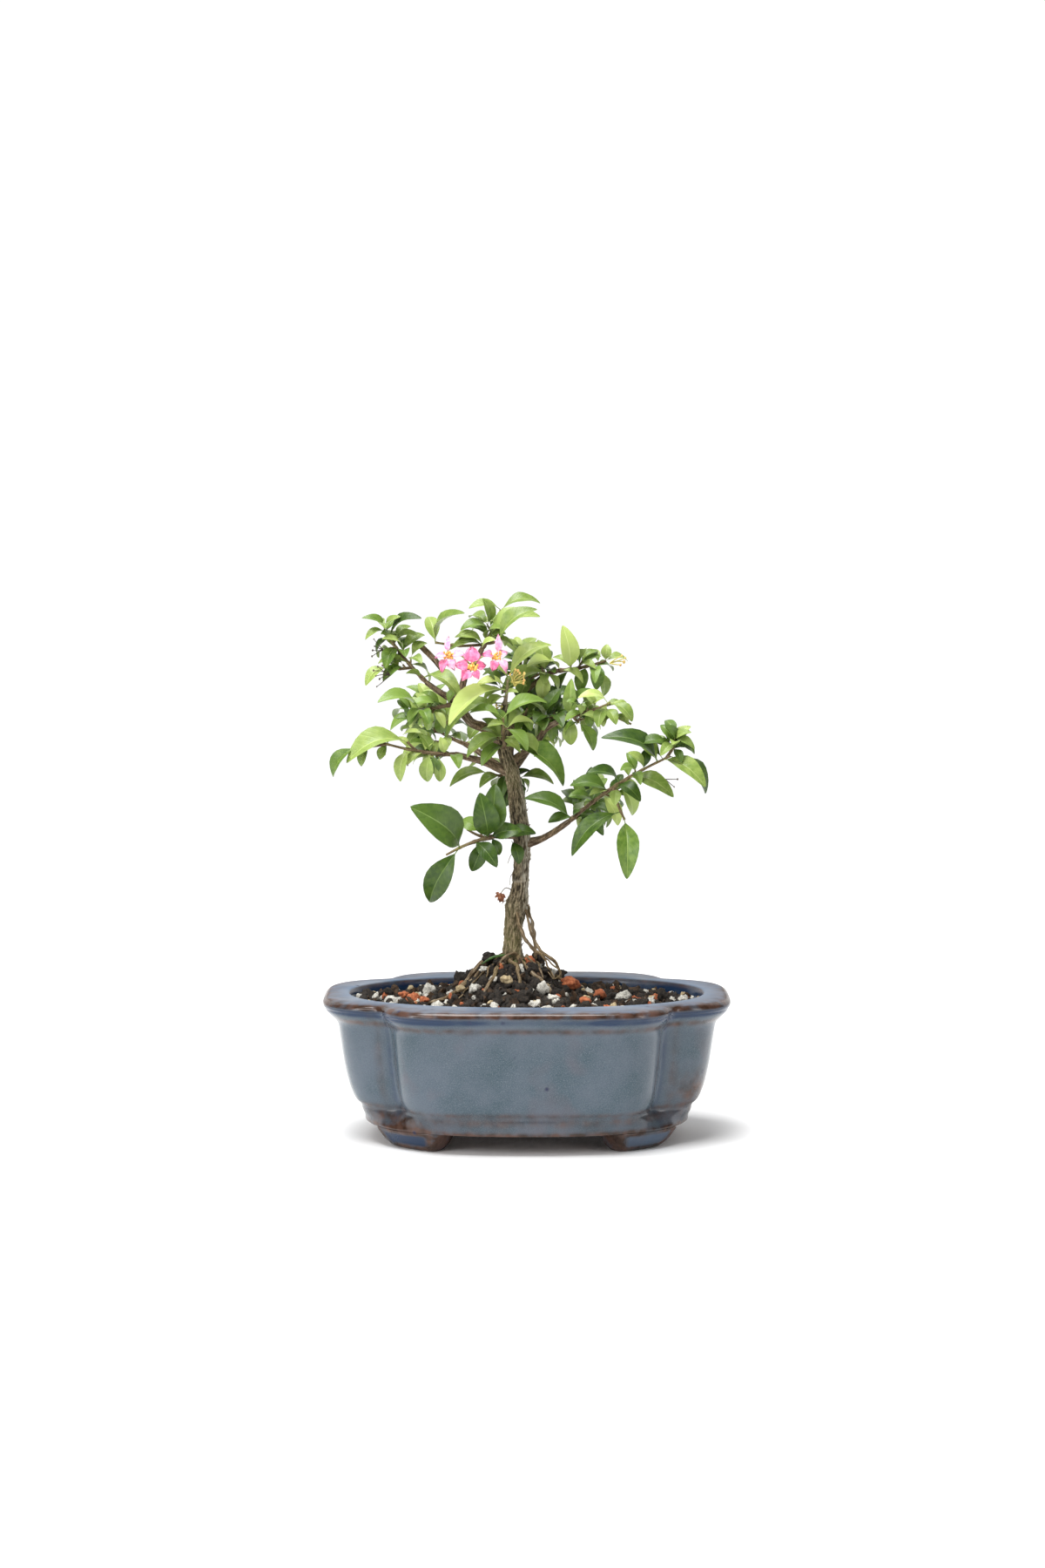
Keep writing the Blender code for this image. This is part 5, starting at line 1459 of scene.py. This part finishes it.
def blade_finish(name, shade, colour, veined=False):
    """A leaf blade: side veins from the midrib, and leaves that differ a little in colour."""
    leaf = Finish(name, colour, 0.38, Specular_IOR_Level=0.32, Coat_Weight=0.06, Coat_Roughness=0.25)
    tint = leaf.attribute("tint")["Fac"]
    base = leaf.patchy(3.0, 0.35, 0.65, shade, colour)
    bright = tuple(min(part * 1.25 + 0.01, 1.0) for part in colour)
    base = leaf.mix(leaf.between(tint, 0.5, 1.0), base, bright)
    base = leaf.mix(leaf.between(tint, 0.5, 0.0, 0.0, 0.6), base, shade)
    if veined:
        parts = leaf.add("ShaderNodeSeparateXYZ", {
            "Vector": leaf.add("ShaderNodeUVMap", uv_map="UVMap")["UV"]})
        away = leaf.math("ABSOLUTE", leaf.math("SUBTRACT", parts["Y"], 0.5))
        slant = leaf.math("MULTIPLY_ADD", away, VEIN_SLANT, parts["X"])
        wave = leaf.math("COSINE", leaf.math("MULTIPLY", slant, VEIN_PAIRS * 2 * math.pi))
        pale = tuple(min(part * 1.5 + 0.03, 1.0) for part in colour)
        base = leaf.mix(leaf.between(wave, 0.8, 1.0, 0.0, 0.09), base, pale)
        leaf.bump(leaf.between(wave, 0.5, 1.0), 0.1, 0.35)
    leaf.colour(base)
    return leaf.material


# kind, then its colours: in shade, in light, midrib, underside
LEAF_KINDS = {
    "young": ((0.23, 0.32, 0.07), (0.35, 0.43, 0.115), (0.46, 0.53, 0.2), (0.36, 0.44, 0.15)),
    "light": ((0.14, 0.22, 0.036), (0.245, 0.325, 0.075), (0.34, 0.42, 0.13), (0.26, 0.34, 0.1)),
    "mid": ((0.075, 0.145, 0.017), (0.145, 0.23, 0.035), (0.22, 0.3, 0.075), (0.17, 0.25, 0.065)),
    "deep": ((0.026, 0.062, 0.006), (0.062, 0.115, 0.012), (0.12, 0.19, 0.04), (0.09, 0.16, 0.038)),
}
# shares of the four kinds among a mass's sprays: deep green mostly in low, inner and rear masses as
# painted shade, young and light green at the top of the crown, partly as painted light
SPRAY_SHARES = {
    "foliage_apex": (0.35, 0.4, 0.22, 0.03), "foliage_upper_left": (0.35, 0.4, 0.22, 0.03),
    "foliage_upper_right": (0.3, 0.35, 0.25, 0.1), "foliage_low_right": (0.1, 0.12, 0.38, 0.4),
    "foliage_low_left": (0.0, 0.0, 0.35, 0.65), "foliage_rear": (0.05, 0.2, 0.35, 0.4),
    "foliage_rear_left": (0.05, 0.2, 0.35, 0.4), "foliage_rear_low": (0.05, 0.3, 0.4, 0.25),
    "foliage_inner_right": (0.0, 0.15, 0.4, 0.45), "foliage_back": (0.1, 0.25, 0.35, 0.3),
    "foliage_trunk": (0.0, 0.15, 0.4, 0.45),
}
SHARES_DEFAULT = (0.22, 0.38, 0.25, 0.15)


def leaf_points(name, rows):
    """Points with the turn, size, form and tint of a leaf on each."""
    mesh = bpy.data.meshes.new(name)
    mesh.from_pydata([row[0] * MM for row in rows], [], [])
    turns, sizes = [], []
    for _, way, facing, length, width, _, _ in rows:
        turns += Matrix((way, *side_and_up(way, facing))).transposed().to_euler()
        sizes += (length * MM, width * MM, length * MM)
    point_values(mesh, "turn", "FLOAT_VECTOR", turns)
    point_values(mesh, "size", "FLOAT_VECTOR", sizes)
    point_values(mesh, "form", "INT", [row[5] for row in rows])
    point_values(mesh, "tint", "FLOAT", [row[6] for row in rows])
    return mesh


# which way the blades of a mass look: low ones to the front, those of the crown more upward
BLADE_LOOK = {"foliage_low_left": Vector((0.1, -0.95, 0.35)),
              "foliage_low_right": Vector((0.0, -0.6, 0.75)),
              "foliage_trunk": Vector((0.0, -0.5, 0.85))}
# single leaves in front of the trunk: foot, tip, width and form
LONE_LEAVES = (((-10.6, -5, 149.6), (3.4, -10.5, 154.6), 9, 4),
               ((-7.6, -4.6, 148.6), (-3.4, -9, 138), 6.5, 1))
LONE_LOOK = Vector((0.0, -0.62, 0.78))
LOOK_DEFAULT = Vector((0.0, -0.42, 0.9))
# share by which the blades are longer and wider than the solids' leaves
BLADE_GROWN = {"foliage_low_left": (1.0, 1.08), "foliage_low_right": (1.05, 0.92)}
GROWN_DEFAULT = (1.05, 0.94)
PARTED = ("foliage_leader", "foliage_front")    # here the leaves part and show the golden stem
LOOK_SHARE = 0.75                   # how far a blade turns from the rule's facing to its mass's
leaf_store = bpy.data.collections.new("leaf_forms")
for index, form in enumerate(LEAF_FORMS):
    leaf_template(f"leaf_form_{index}", leaf_store, form)
rng = random.Random(5)
dealt = {kind: [] for kind in LEAF_KINDS}
for mass, leaves in growth.leaves.items():
    shares = SPRAY_SHARES.get(mass, SHARES_DEFAULT)
    kind = "mid"
    for index, (base, way, facing, length, width) in enumerate(leaves):
        if index % 2 == 0:
            kind = rng.choices(list(LEAF_KINDS), shares)[0]
        look = facing.lerp(BLADE_LOOK.get(mass, LOOK_DEFAULT), LOOK_SHARE)
        if mass in PARTED and abs(way.x) < 0.6:
            way = Vector((math.copysign(0.8, way.x), way.y * 0.5, way.z)).normalized()
        longer, wider = BLADE_GROWN.get(mass, GROWN_DEFAULT)
        dealt[kind].append((base, way, look, length * longer, width * wider,
                            rng.randrange(len(LEAF_FORMS)), rng.random()))
# the lone leaves low before the trunk take the deep green, as painted shade under the crown
for base, tip, width, form in LONE_LEAVES:
    way = Vector(tip) - Vector(base)
    dealt["deep"].append((Vector(base), way.normalized(), LONE_LOOK, way.length, width, form, 0.4))
leaf_setter = leaf_tree()
for kind, (shade, colour, rib, under) in LEAF_KINDS.items():
    leaves = baked(f"leaves_{kind}", leaf_points(kind, dealt[kind]), leaf_setter,
                   {"Leaves": leaf_store, "Blade": blade_finish(f"leaf_{kind}", shade, colour, True),
                    "Rib": blade_finish(f"midrib_{kind}", rib, rib),
                    "Underside": blade_finish(f"underside_{kind}", under, under)}, None)
    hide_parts(*MASSES)
    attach(leaves, "root")
cleared(leaf_store)

NODE_SWELL = 0.35                   # by how much a shoot thickens where leaves leave it
NODE_REACH = 0.9
GREEN_TIPS = 0.55
BARE_STEM = (0.25, 0.35)            # added green and bare wood of the leader's golden stem


def dressed_shoot(shoot, bases, golden):
    """A shoot's line with swollen nodes: brown at its foot and yellow green towards its tip."""
    rows = []
    steps = smooth_path([(*spot, radius * 0.8) for spot, radius in shoot], 6)
    for index, (spot, radius) in enumerate(steps):
        share = index / (len(steps) - 1)
        near = min([(spot - base).length for base in bases] + [9.0])
        radius *= 1 + NODE_SWELL * hump(near, 0.0, NODE_REACH)
        shade = 0.25 * noise.noise(spot * 0.25)
        greener, bare = BARE_STEM if golden else (0.0, 0.0)
        green = GREEN_TIPS * share ** 1.5 + shade + greener
        rows.append((spot, radius, (min(max(green, 0.0), 1.0), 0.1, bare)))
    return rows


twig_paths = []
for mass, shoots in growth.shoots.items():
    bases = [row[0] for row in growth.leaves[mass]]
    for shoot in shoots:
        twig_paths.append(dressed_shoot(shoot, bases, mass == "foliage_leader"))
twig_finish = bark_finish("twig_bark", (0.045, 0.026, 0.012), (0.155, 0.098, 0.055),
                          (0.26, 0.18, 0.105), (0.3, 0.26, 0.2), (0.26, 0.27, 0.06))
twigs = wooden("twigs", twig_paths, twig_finish, ring_mm=0.55, sides=14, relief=0.22, grain_mm=0.6)
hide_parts(*MASSES)
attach(twigs, "root")

# ------------------------------------ flowers, buds and stalks
# Three open flowers hang before the apex bough: five pink, clawed petals with frayed edges round
# a tuft of orange anthers. Buds stand on yellow stalks; spent ones are dark, thin and bare.
PETAL_ROWS = 12
PETAL_COLUMNS = 10
PETAL_THICK = 0.12
PETAL_SLIM = 0.88
CENTRE_GAP = 0.7                    # from the flower's middle to a petal's foot
CLAW = 0.26                         # share of a petal's length that is its narrow foot
# centre, the way it faces, then a row for each petal: lean as seen from the front, rise towards
# the viewer, length, width and whether it is pale
FLOWERS = (
    ((-38, -17, 241), (-0.35, -0.6, 0.65),
     ((96, -10, 9.6, 3.6, True), (176, 25, 6.8, 5.4, True), (14, 30, 7.8, 5.6, True),
      (236, 30, 8.4, 6, False), (290, 35, 7, 5.6, True))),
    ((-27, -20, 235.5), (0.05, -0.9, 0.35),
     ((90, 0, 9.8, 9, False), (165, 20, 7.8, 6.4, False), (228, 35, 7.6, 6.4, False),
      (15, -5, 6.4, 5.6, False), (305, 25, 5.8, 4.6, False))),
    ((-15.2, -17, 240.5), (0.3, -0.6, 0.7),
     ((82, -5, 10.8, 4.2, True), (160, 25, 6.8, 6, False), (255, 35, 6.6, 5, False),
      (312, 25, 8.6, 5.6, True), (30, 0, 5.6, 4.8, True))),
)
PEDICEL_ROOT = (-27.5, 0.5, 235.5)
ANTHERS = 13


def petal_shape(base, way, facing, length, width, rng):
    """A thin closed petal: a claw, then a ruffled round blade with a frayed edge."""
    side, up = side_and_up(way, facing)
    phase = rng.uniform(0, 6)
    points = []
    for level in (0.0, PETAL_THICK):
        for row in range(PETAL_ROWS + 1):
            t = row / PETAL_ROWS
            open_share = max((t - CLAW) / (1 - CLAW), 0.0)
            half = 0.055 + 0.46 * math.sin(math.pi * min(open_share ** 0.72, 1.0)) ** 0.62
            for column in range(PETAL_COLUMNS + 1):
                v = 2 * column / PETAL_COLUMNS - 1
                fray = 0.07 * math.sin(9.0 * v + phase) * open_share ** 3
                frill = 0.10 * math.sin(7.0 * v + phase * 2) * open_share ** 2
                rim = abs(v) > 0.99 or row in (0, PETAL_ROWS)
                across = v * half * width * (1 + 0.1 * math.sin(17 * t + phase) * open_share)
                along = length * t * (1 + fray) * (1 - 0.06 * v * v * open_share)
                cup = length * (0.16 * math.sin(math.pi * t) - 0.16 * t * t)
                rise = cup + 0.22 * half * width * v * v + frill * width
                points.append(base + way * along + side * across
                              + up * (rise - (0.0 if rim else level)))
    return points, closed_sheet(PETAL_ROWS, PETAL_COLUMNS + 1)


def ball_shape(centre, radius, stretch=(1.0, 1.0, 1.0)):
    """A small faceted ball, smooth shaded."""
    points, faces = primitive_shape(bmesh.ops.create_icosphere, subdivisions=2, radius=1.0)
    return [Vector(centre) + Vector(part * way * radius for part, way in zip(spot, stretch))
            for spot in points], faces


def joined(shapes):
    """Points and faces of several shapes as one."""
    points, faces = [], []
    for shape_points, shape_faces in shapes:
        first = len(points)
        points += shape_points
        faces += [tuple(first + index for index in face) for face in shape_faces]
    used = sorted({index for face in faces for index in face})
    place = {old: new for new, old in enumerate(used)}
    return [points[old] for old in used], [tuple(place[index] for index in face) for face in faces]


def petal_finish(name, deep, pale):
    petal = Finish(name, deep, 0.55, Sheen_Weight=0.2)
    petal.colour(petal.patchy(1.6, 0.35, 0.65, deep, pale))
    return petal.material


def simple_finish(name, first, second, size, roughness=0.5):
    plain = Finish(name, first, roughness)
    plain.colour(plain.patchy(size, 0.38, 0.62, first, second))
    plain.bump(plain.noise(size * 0.5), 0.05, 0.5)
    return plain.material


def dressing(item, slot_name, *nodes):
    """Sets a small piece on the plant and hides the solids of the named nodes."""
    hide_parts(*nodes)
    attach(item, "root")


rng = random.Random(21)
petals = {False: [], True: []}
anthers, stalks = [], []
for centre, facing, rows in FLOWERS:
    centre = Vector(centre)
    facing = Vector(facing)
    for lean, rise, length, width, is_pale in rows:
        way = front_way(lean, rise)
        petals[is_pale].append(petal_shape(centre + way * CENTRE_GAP, way, facing, length,
                                           width * PETAL_SLIM, rng))
    for index in range(ANTHERS):
        turn = 2 * math.pi * index / ANTHERS
        away = rng.uniform(0.6, 2.7)
        spot = centre + facing * rng.uniform(0.8, 2.2)
        spot += Vector((away * 1.15 * math.cos(turn), 0.0, away * 0.7 * math.sin(turn)))
        anthers.append(ball_shape(spot, rng.uniform(0.5, 0.72), (1.0, 1.0, 1.25)))
        stalks.append(marked(((centre, 0.16), (spot, 0.13)), (0.2, 0, 0)))
    anthers.append(ball_shape(centre + Vector((0, -0.4, 0)), 1.25, (1.0, 0.7, 1.0)))
    middle = Vector(PEDICEL_ROOT).lerp(centre, 0.5) + Vector((0.0, -1.5, 3.0))
    path = smooth_path([(*PEDICEL_ROOT, 0.42), (*middle, 0.36), (*centre, 0.45)], 6)
    stalks.append(marked(path, (0.9, 0, 0)))
for is_pale, name, deep, light in ((False, "petals_deep", (0.72, 0.1, 0.26), (0.86, 0.26, 0.42)),
                                   (True, "petals_pale", (0.78, 0.25, 0.45), (0.9, 0.5, 0.62))):
    blossom = new_piece(name, *joined(petals[is_pale]), petal_finish(name, deep, light))
    dressing(blossom, "leaf", "foliage_apex")
tuft = new_piece("flower_centres", *joined(anthers),
                 simple_finish("orange_anthers", (0.78, 0.3, 0.05), (0.92, 0.6, 0.14), 0.9))
dressing(tuft, "leaf", "foliage_apex")

# Sprays of buds and spent stalks: where they stand, their main lean, spread, count and length
BUD_SPRAYS = (((-7.6, -10.5, 228), 35, 75, 7, 8.5), ((-6, -11, 226), 80, 60, 4, 6.5),
    ((41.5, 8, 236.5), 12, 40, 4, 7.5), ((-12, -9, 216), 200, 60, 3, 4))
SPENT_SPRAYS = (((-68, -4, 231.5), 175, 95, 6, 8), ((-71.5, 3, 243.5), 170, 80, 4, 6.5),
    ((68.5, -12, 180), 320, 80, 3, 7), ((-60, -14, 191), 250, 70, 3, 5.5))


def spray(rows, thick, knob, seed):
    """Thin stalks that fan out from each place as seen from the front, and knobs at their tips."""
    rng = random.Random(seed)
    paths, knobs = [], []
    for place, lean, spread, count, length in rows:
        for index in range(count):
            turn = math.radians(lean + spread * (index / max(count - 1, 1) - 0.5))
            reach = length * rng.uniform(0.7, 1.1)
            tip = Vector(place) + reach * Vector((math.cos(turn), rng.uniform(-0.45, 0.2),
                                                  math.sin(turn)))
            bend = Vector(place).lerp(tip, 0.5) + Vector((0, 0, rng.uniform(-0.5, 0.7)))
            path = smooth_path([(*place, thick * 1.3), (*bend, thick), (*tip, thick * 0.8)], 4)
            paths.append(marked(path, (0.1, 0, 0)))
            knobs.append(ball_shape(tip, knob * rng.uniform(0.8, 1.2), (1.0, 1.0, 1.3)))
    return paths, knobs


bud_paths, bud_knobs = spray(BUD_SPRAYS, 0.3, 0.62, 31)
bud_finish = bark_finish("yellow_stalk", (0.36, 0.3, 0.06), (0.6, 0.52, 0.14),
                         (0.74, 0.66, 0.24), (0.7, 0.6, 0.3), (0.42, 0.46, 0.1))
stems = wooden("flower_stalks", bud_paths + stalks, bud_finish, ring_mm=0.5, sides=8, relief=0.08)
dressing(stems, "leaf", "foliage_leader", "foliage_apex", "foliage_upper_right")
buds = new_piece("flower_buds", *joined(bud_knobs),
                 simple_finish("yellow_buds", (0.62, 0.3, 0.09), (0.7, 0.62, 0.18), 1.2))
dressing(buds, "leaf", "foliage_leader", "foliage_upper_right")
spent_paths, spent_knobs = spray(SPENT_SPRAYS, 0.2, 0.42, 32)
spent_finish = bark_finish("spent_stalk", (0.02, 0.014, 0.01), (0.06, 0.042, 0.03),
                           (0.12, 0.09, 0.06), (0.2, 0.18, 0.14), (0.09, 0.08, 0.04))
spent = wooden("spent_stalks", spent_paths, spent_finish, ring_mm=0.5, sides=8, relief=0.08)
dressing(spent, "bark", "foliage_upper_left", "foliage_low_right", "foliage_mid_left")
knobs = new_piece("spent_knobs", *joined(spent_knobs),
                  simple_finish("spent_brown", (0.05, 0.03, 0.02), (0.12, 0.08, 0.05), 1.0))
dressing(knobs, "bark", "foliage_upper_left", "foliage_low_right", "foliage_mid_left")

# -------------------------------------------- litter on the trunk
# Dead matter that clings to the trunk: a dried flower that hangs from its thin stalk, dead hair
# roots, and threads of bark that have lifted at one end and stand off it.
DRY_STALK = ((-7.5, -3.8, 124, 0.3), (-10.5, -6, 125.2, 0.24), (-13, -6.6, 122.6, 0.22))
DRY_SEPALS = ((250, 4), (285, 4.6), (215, 3.6), (320, 3.4), (180, 2.8), (268, 5.2))
DEAD_HAIRS = (((-6.4, -4, 142, 0.22), (-7.9, -5.2, 141.5, 0.18), (-9.6, -5.6, 137.2, 0.14)),
    ((-6, -4, 133, 0.2), (-8, -5.4, 131, 0.16), (-8.4, -5.8, 126.5, 0.12)), ((-8.5, -4.2, 118, 0.3),
    (-11, -5, 118.6, 0.22), (-12.4, -5.2, 116.8, 0.16)))
THREADS = 26
THREAD_STEPS = slice(4, 60)         # steps of the trunk's line that threads hang on
rng = random.Random(51)
dry_paths = [smooth_path(DRY_STALK, 6)] + [smooth_path(rows, 5) for rows in DEAD_HAIRS]
trunk_line = smooth_path(TRUNK, 6)
for _ in range(THREADS):
    spot, radius = rng.choice(trunk_line[THREAD_STEPS])
    turn = rng.uniform(-2.9, 0.2)
    outward = Vector((math.cos(turn), math.sin(turn), 0.0))
    foot = spot + outward * radius * 0.97
    middle = foot + outward * rng.uniform(0.3, 0.8) + Vector((0, 0, rng.uniform(-2.5, 2.5)))
    tip = middle + outward * rng.uniform(0.1, 1.0) + Vector((0, 0, rng.uniform(-2.0, 2.0)))
    dry_paths.append(smooth_path([(*foot, 0.32), (*middle, 0.24), (*tip, 0.12)], 4))
litter_finish = bark_finish("dry_litter", (0.06, 0.035, 0.02), (0.17, 0.11, 0.06),
                            (0.3, 0.22, 0.13), (0.36, 0.32, 0.25), (0.12, 0.12, 0.04))
litter = wooden("bark_threads", [[(spot, radius, bough_mark(spot)) for spot, radius in path]
                                 for path in dry_paths],
                litter_finish, ring_mm=0.5, sides=8, relief=0.2, grain_mm=0.5)
dressing(litter, "bark", "trunk")
dry_centre = Vector(DRY_STALK[-1][:3])
dry_shapes = [ball_shape(dry_centre + Vector((0, 0, -0.8)), 1.0)]
for lean, length in DRY_SEPALS:
    way = Vector((math.cos(math.radians(lean)), rng.uniform(-0.5, 0.3), math.sin(math.radians(lean))))
    dry_shapes.append(petal_shape(dry_centre, way.normalized(), Vector((0.2, -0.9, 0.3)), length,
                                  length * 0.42, rng))
dry = new_piece("dry_flower", *joined(dry_shapes),
                simple_finish("dry_calyx", (0.16, 0.05, 0.022), (0.34, 0.14, 0.07), 1.0, 0.8))
dressing(dry, "bark", "trunk")

# -------------------------------------------------- moss and weed
# A little moss grows in low green tufts on the damp mound before the trunk's foot, and one blade
# of a grassy weed has rooted between the stones and lies over it.
MOSS_HEADINGS = (165.0, 345.0)
MOSS_REACH = (3.6, 11.5)
MOSS_LIFTS = (1.4, 0.3)             # how far its inner and its outer edge stand off the mound
MOSS_STEPS = 24
MOSS_TUFTS = (0.9, 0.7, 1.9, 0.2)   # spacing, smallest, largest, lift
WEED = ((-22.5, -8, 87.2, 0.25), (-17.5, -8.6, 90.4, 0.75), (-12, -8, 91.6, 0.65),
    (-8, -6.5, 91, 0.3))
moss_points, moss_faces = [], []
for step in range(MOSS_STEPS + 1):
    heading = math.radians(MOSS_HEADINGS[0]
                           + (MOSS_HEADINGS[1] - MOSS_HEADINGS[0]) * step / MOSS_STEPS)
    ragged = 1 + 0.3 * math.sin(step * 2.3) + 0.2 * math.sin(step * 5.1)
    for away in (MOSS_REACH[0], MOSS_REACH[0] + (MOSS_REACH[1] - MOSS_REACH[0]) * 0.6 * ragged):
        x = MOUND_CENTRE[0] + away * math.cos(heading)
        y = MOUND_CENTRE[1] + away * math.sin(heading)
        lift = MOSS_LIFTS[0] if away == MOSS_REACH[0] else MOSS_LIFTS[1]
        moss_points.append(Vector((x, y, mound_height(x, y) + lift)) * MM)
for step in range(MOSS_STEPS):
    moss_faces.append((2 * step, 2 * step + 1, 2 * step + 3, 2 * step + 2))
moss_mesh = bpy.data.meshes.new("moss_patch")
moss_mesh.from_pydata(moss_points, [], moss_faces)
moss_store = bpy.data.collections.new("moss_tufts")
for index in range(4):
    rock_variant(f"moss_tuft_{index}", moss_store, rng, 2, (1.0, 0.9, 1.0), 0.9)
moss_finish = earth_finish("moss", (0.03, 0.055, 0.008), (0.11, 0.17, 0.03), 0.7, 0.3)
moss = strewn_over("moss_cushions", moss_mesh, moss_store, MOSS_TUFTS, 8, moss_finish)
cleared(moss_store)
dressing(moss, "grit", "soil")
weed_finish = simple_finish("weed_green", (0.025, 0.075, 0.01), (0.06, 0.14, 0.022), 2.0, 0.4)
weed = wooden("weed_blade", [marked(smooth_path(WEED, 8), (1, 0, 0))], weed_finish, ring_mm=0.5,
              sides=10, relief=0.02)
dressing(weed, "leaf", "soil")

# -------------------------------------------------- studio set
# A white floor and a lit white wall behind it, under one broad soft box overhead, with a softer
# key from the camera's left and a tall strip light to each side, as for a catalogue picture.
CAMERA_PLACE = (-2.12, -1700.0, 322.28)
CAMERA_PITCH = 4.896                # degrees below level
CAMERA_LENS = 78.52                 # on a sensor whose long side is 36 mm
FLOOR_HALF = 1500.0
WALL_Y = 1400.0
WALL_HALF = 2500.0
WORLD_STRENGTH = 0.22


def softbox(name, place, aim, wide, tall, power):
    """An area light that faces a point."""
    lamp = bpy.data.lights.new(name, "AREA")
    lamp.shape = "RECTANGLE"
    lamp.size = wide * MM
    lamp.size_y = tall * MM
    lamp.energy = power
    item = bpy.data.objects.new(name, lamp)
    item.location = Vector(place) * MM
    item.rotation_euler = (Vector(aim) - Vector(place)).to_track_quat("-Z", "Y").to_euler()
    bpy.context.scene.collection.objects.link(item)


paper = Finish("white_paper", (0.94, 0.94, 0.94), 0.8)
floor = new_piece("floor", [Vector((x * FLOOR_HALF, y * FLOOR_HALF, 0.0))
                            for x, y in ((-1, -1), (1, -1), (1, 1), (-1, 1))], [(0, 1, 2, 3)],
                  paper.material)
glow = Finish("lit_wall", (0.0, 0.0, 0.0), 1.0, Emission_Strength=1.02, Emission_Color=(1.0, 1.0, 1.0))
wall = new_piece("wall", [Vector((x * WALL_HALF, WALL_Y, z)) for x, z in
                          ((-1, 0.0), (1, 0.0), (1, WALL_HALF), (-1, WALL_HALF))],
                 [(0, 1, 2, 3)], glow.material)
softbox("overhead", (-250, -350, 1900), (0, 0, 0), 1150, 1150, 56.0)
softbox("key", (-1000, -1300, 900), (0, 0, 130), 700, 700, 9.0)
softbox("left_strip", (-1250, -950, 500), (0, 0, 60), 200, 1100, 6.0)
softbox("right_strip", (1250, -950, 500), (0, 0, 60), 200, 1100, 5.0)

world = bpy.data.worlds.new("studio")
bpy.context.scene.world = world
world.use_nodes = True
backdrop = world.node_tree.nodes["Background"].inputs
backdrop["Color"].default_value = (1.0, 1.0, 1.0, 1.0)
backdrop["Strength"].default_value = WORLD_STRENGTH
bpy.context.scene.view_settings.view_transform = "Standard"

lens = bpy.data.cameras.new("camera")
lens.lens = CAMERA_LENS
lens.clip_end = 50.0
camera = bpy.data.objects.new("camera", lens)
camera.location = Vector(CAMERA_PLACE) * MM
camera.rotation_euler = (math.radians(90 - CAMERA_PITCH), 0.0, 0.0)
bpy.context.scene.collection.objects.link(camera)
bpy.context.scene.camera = camera
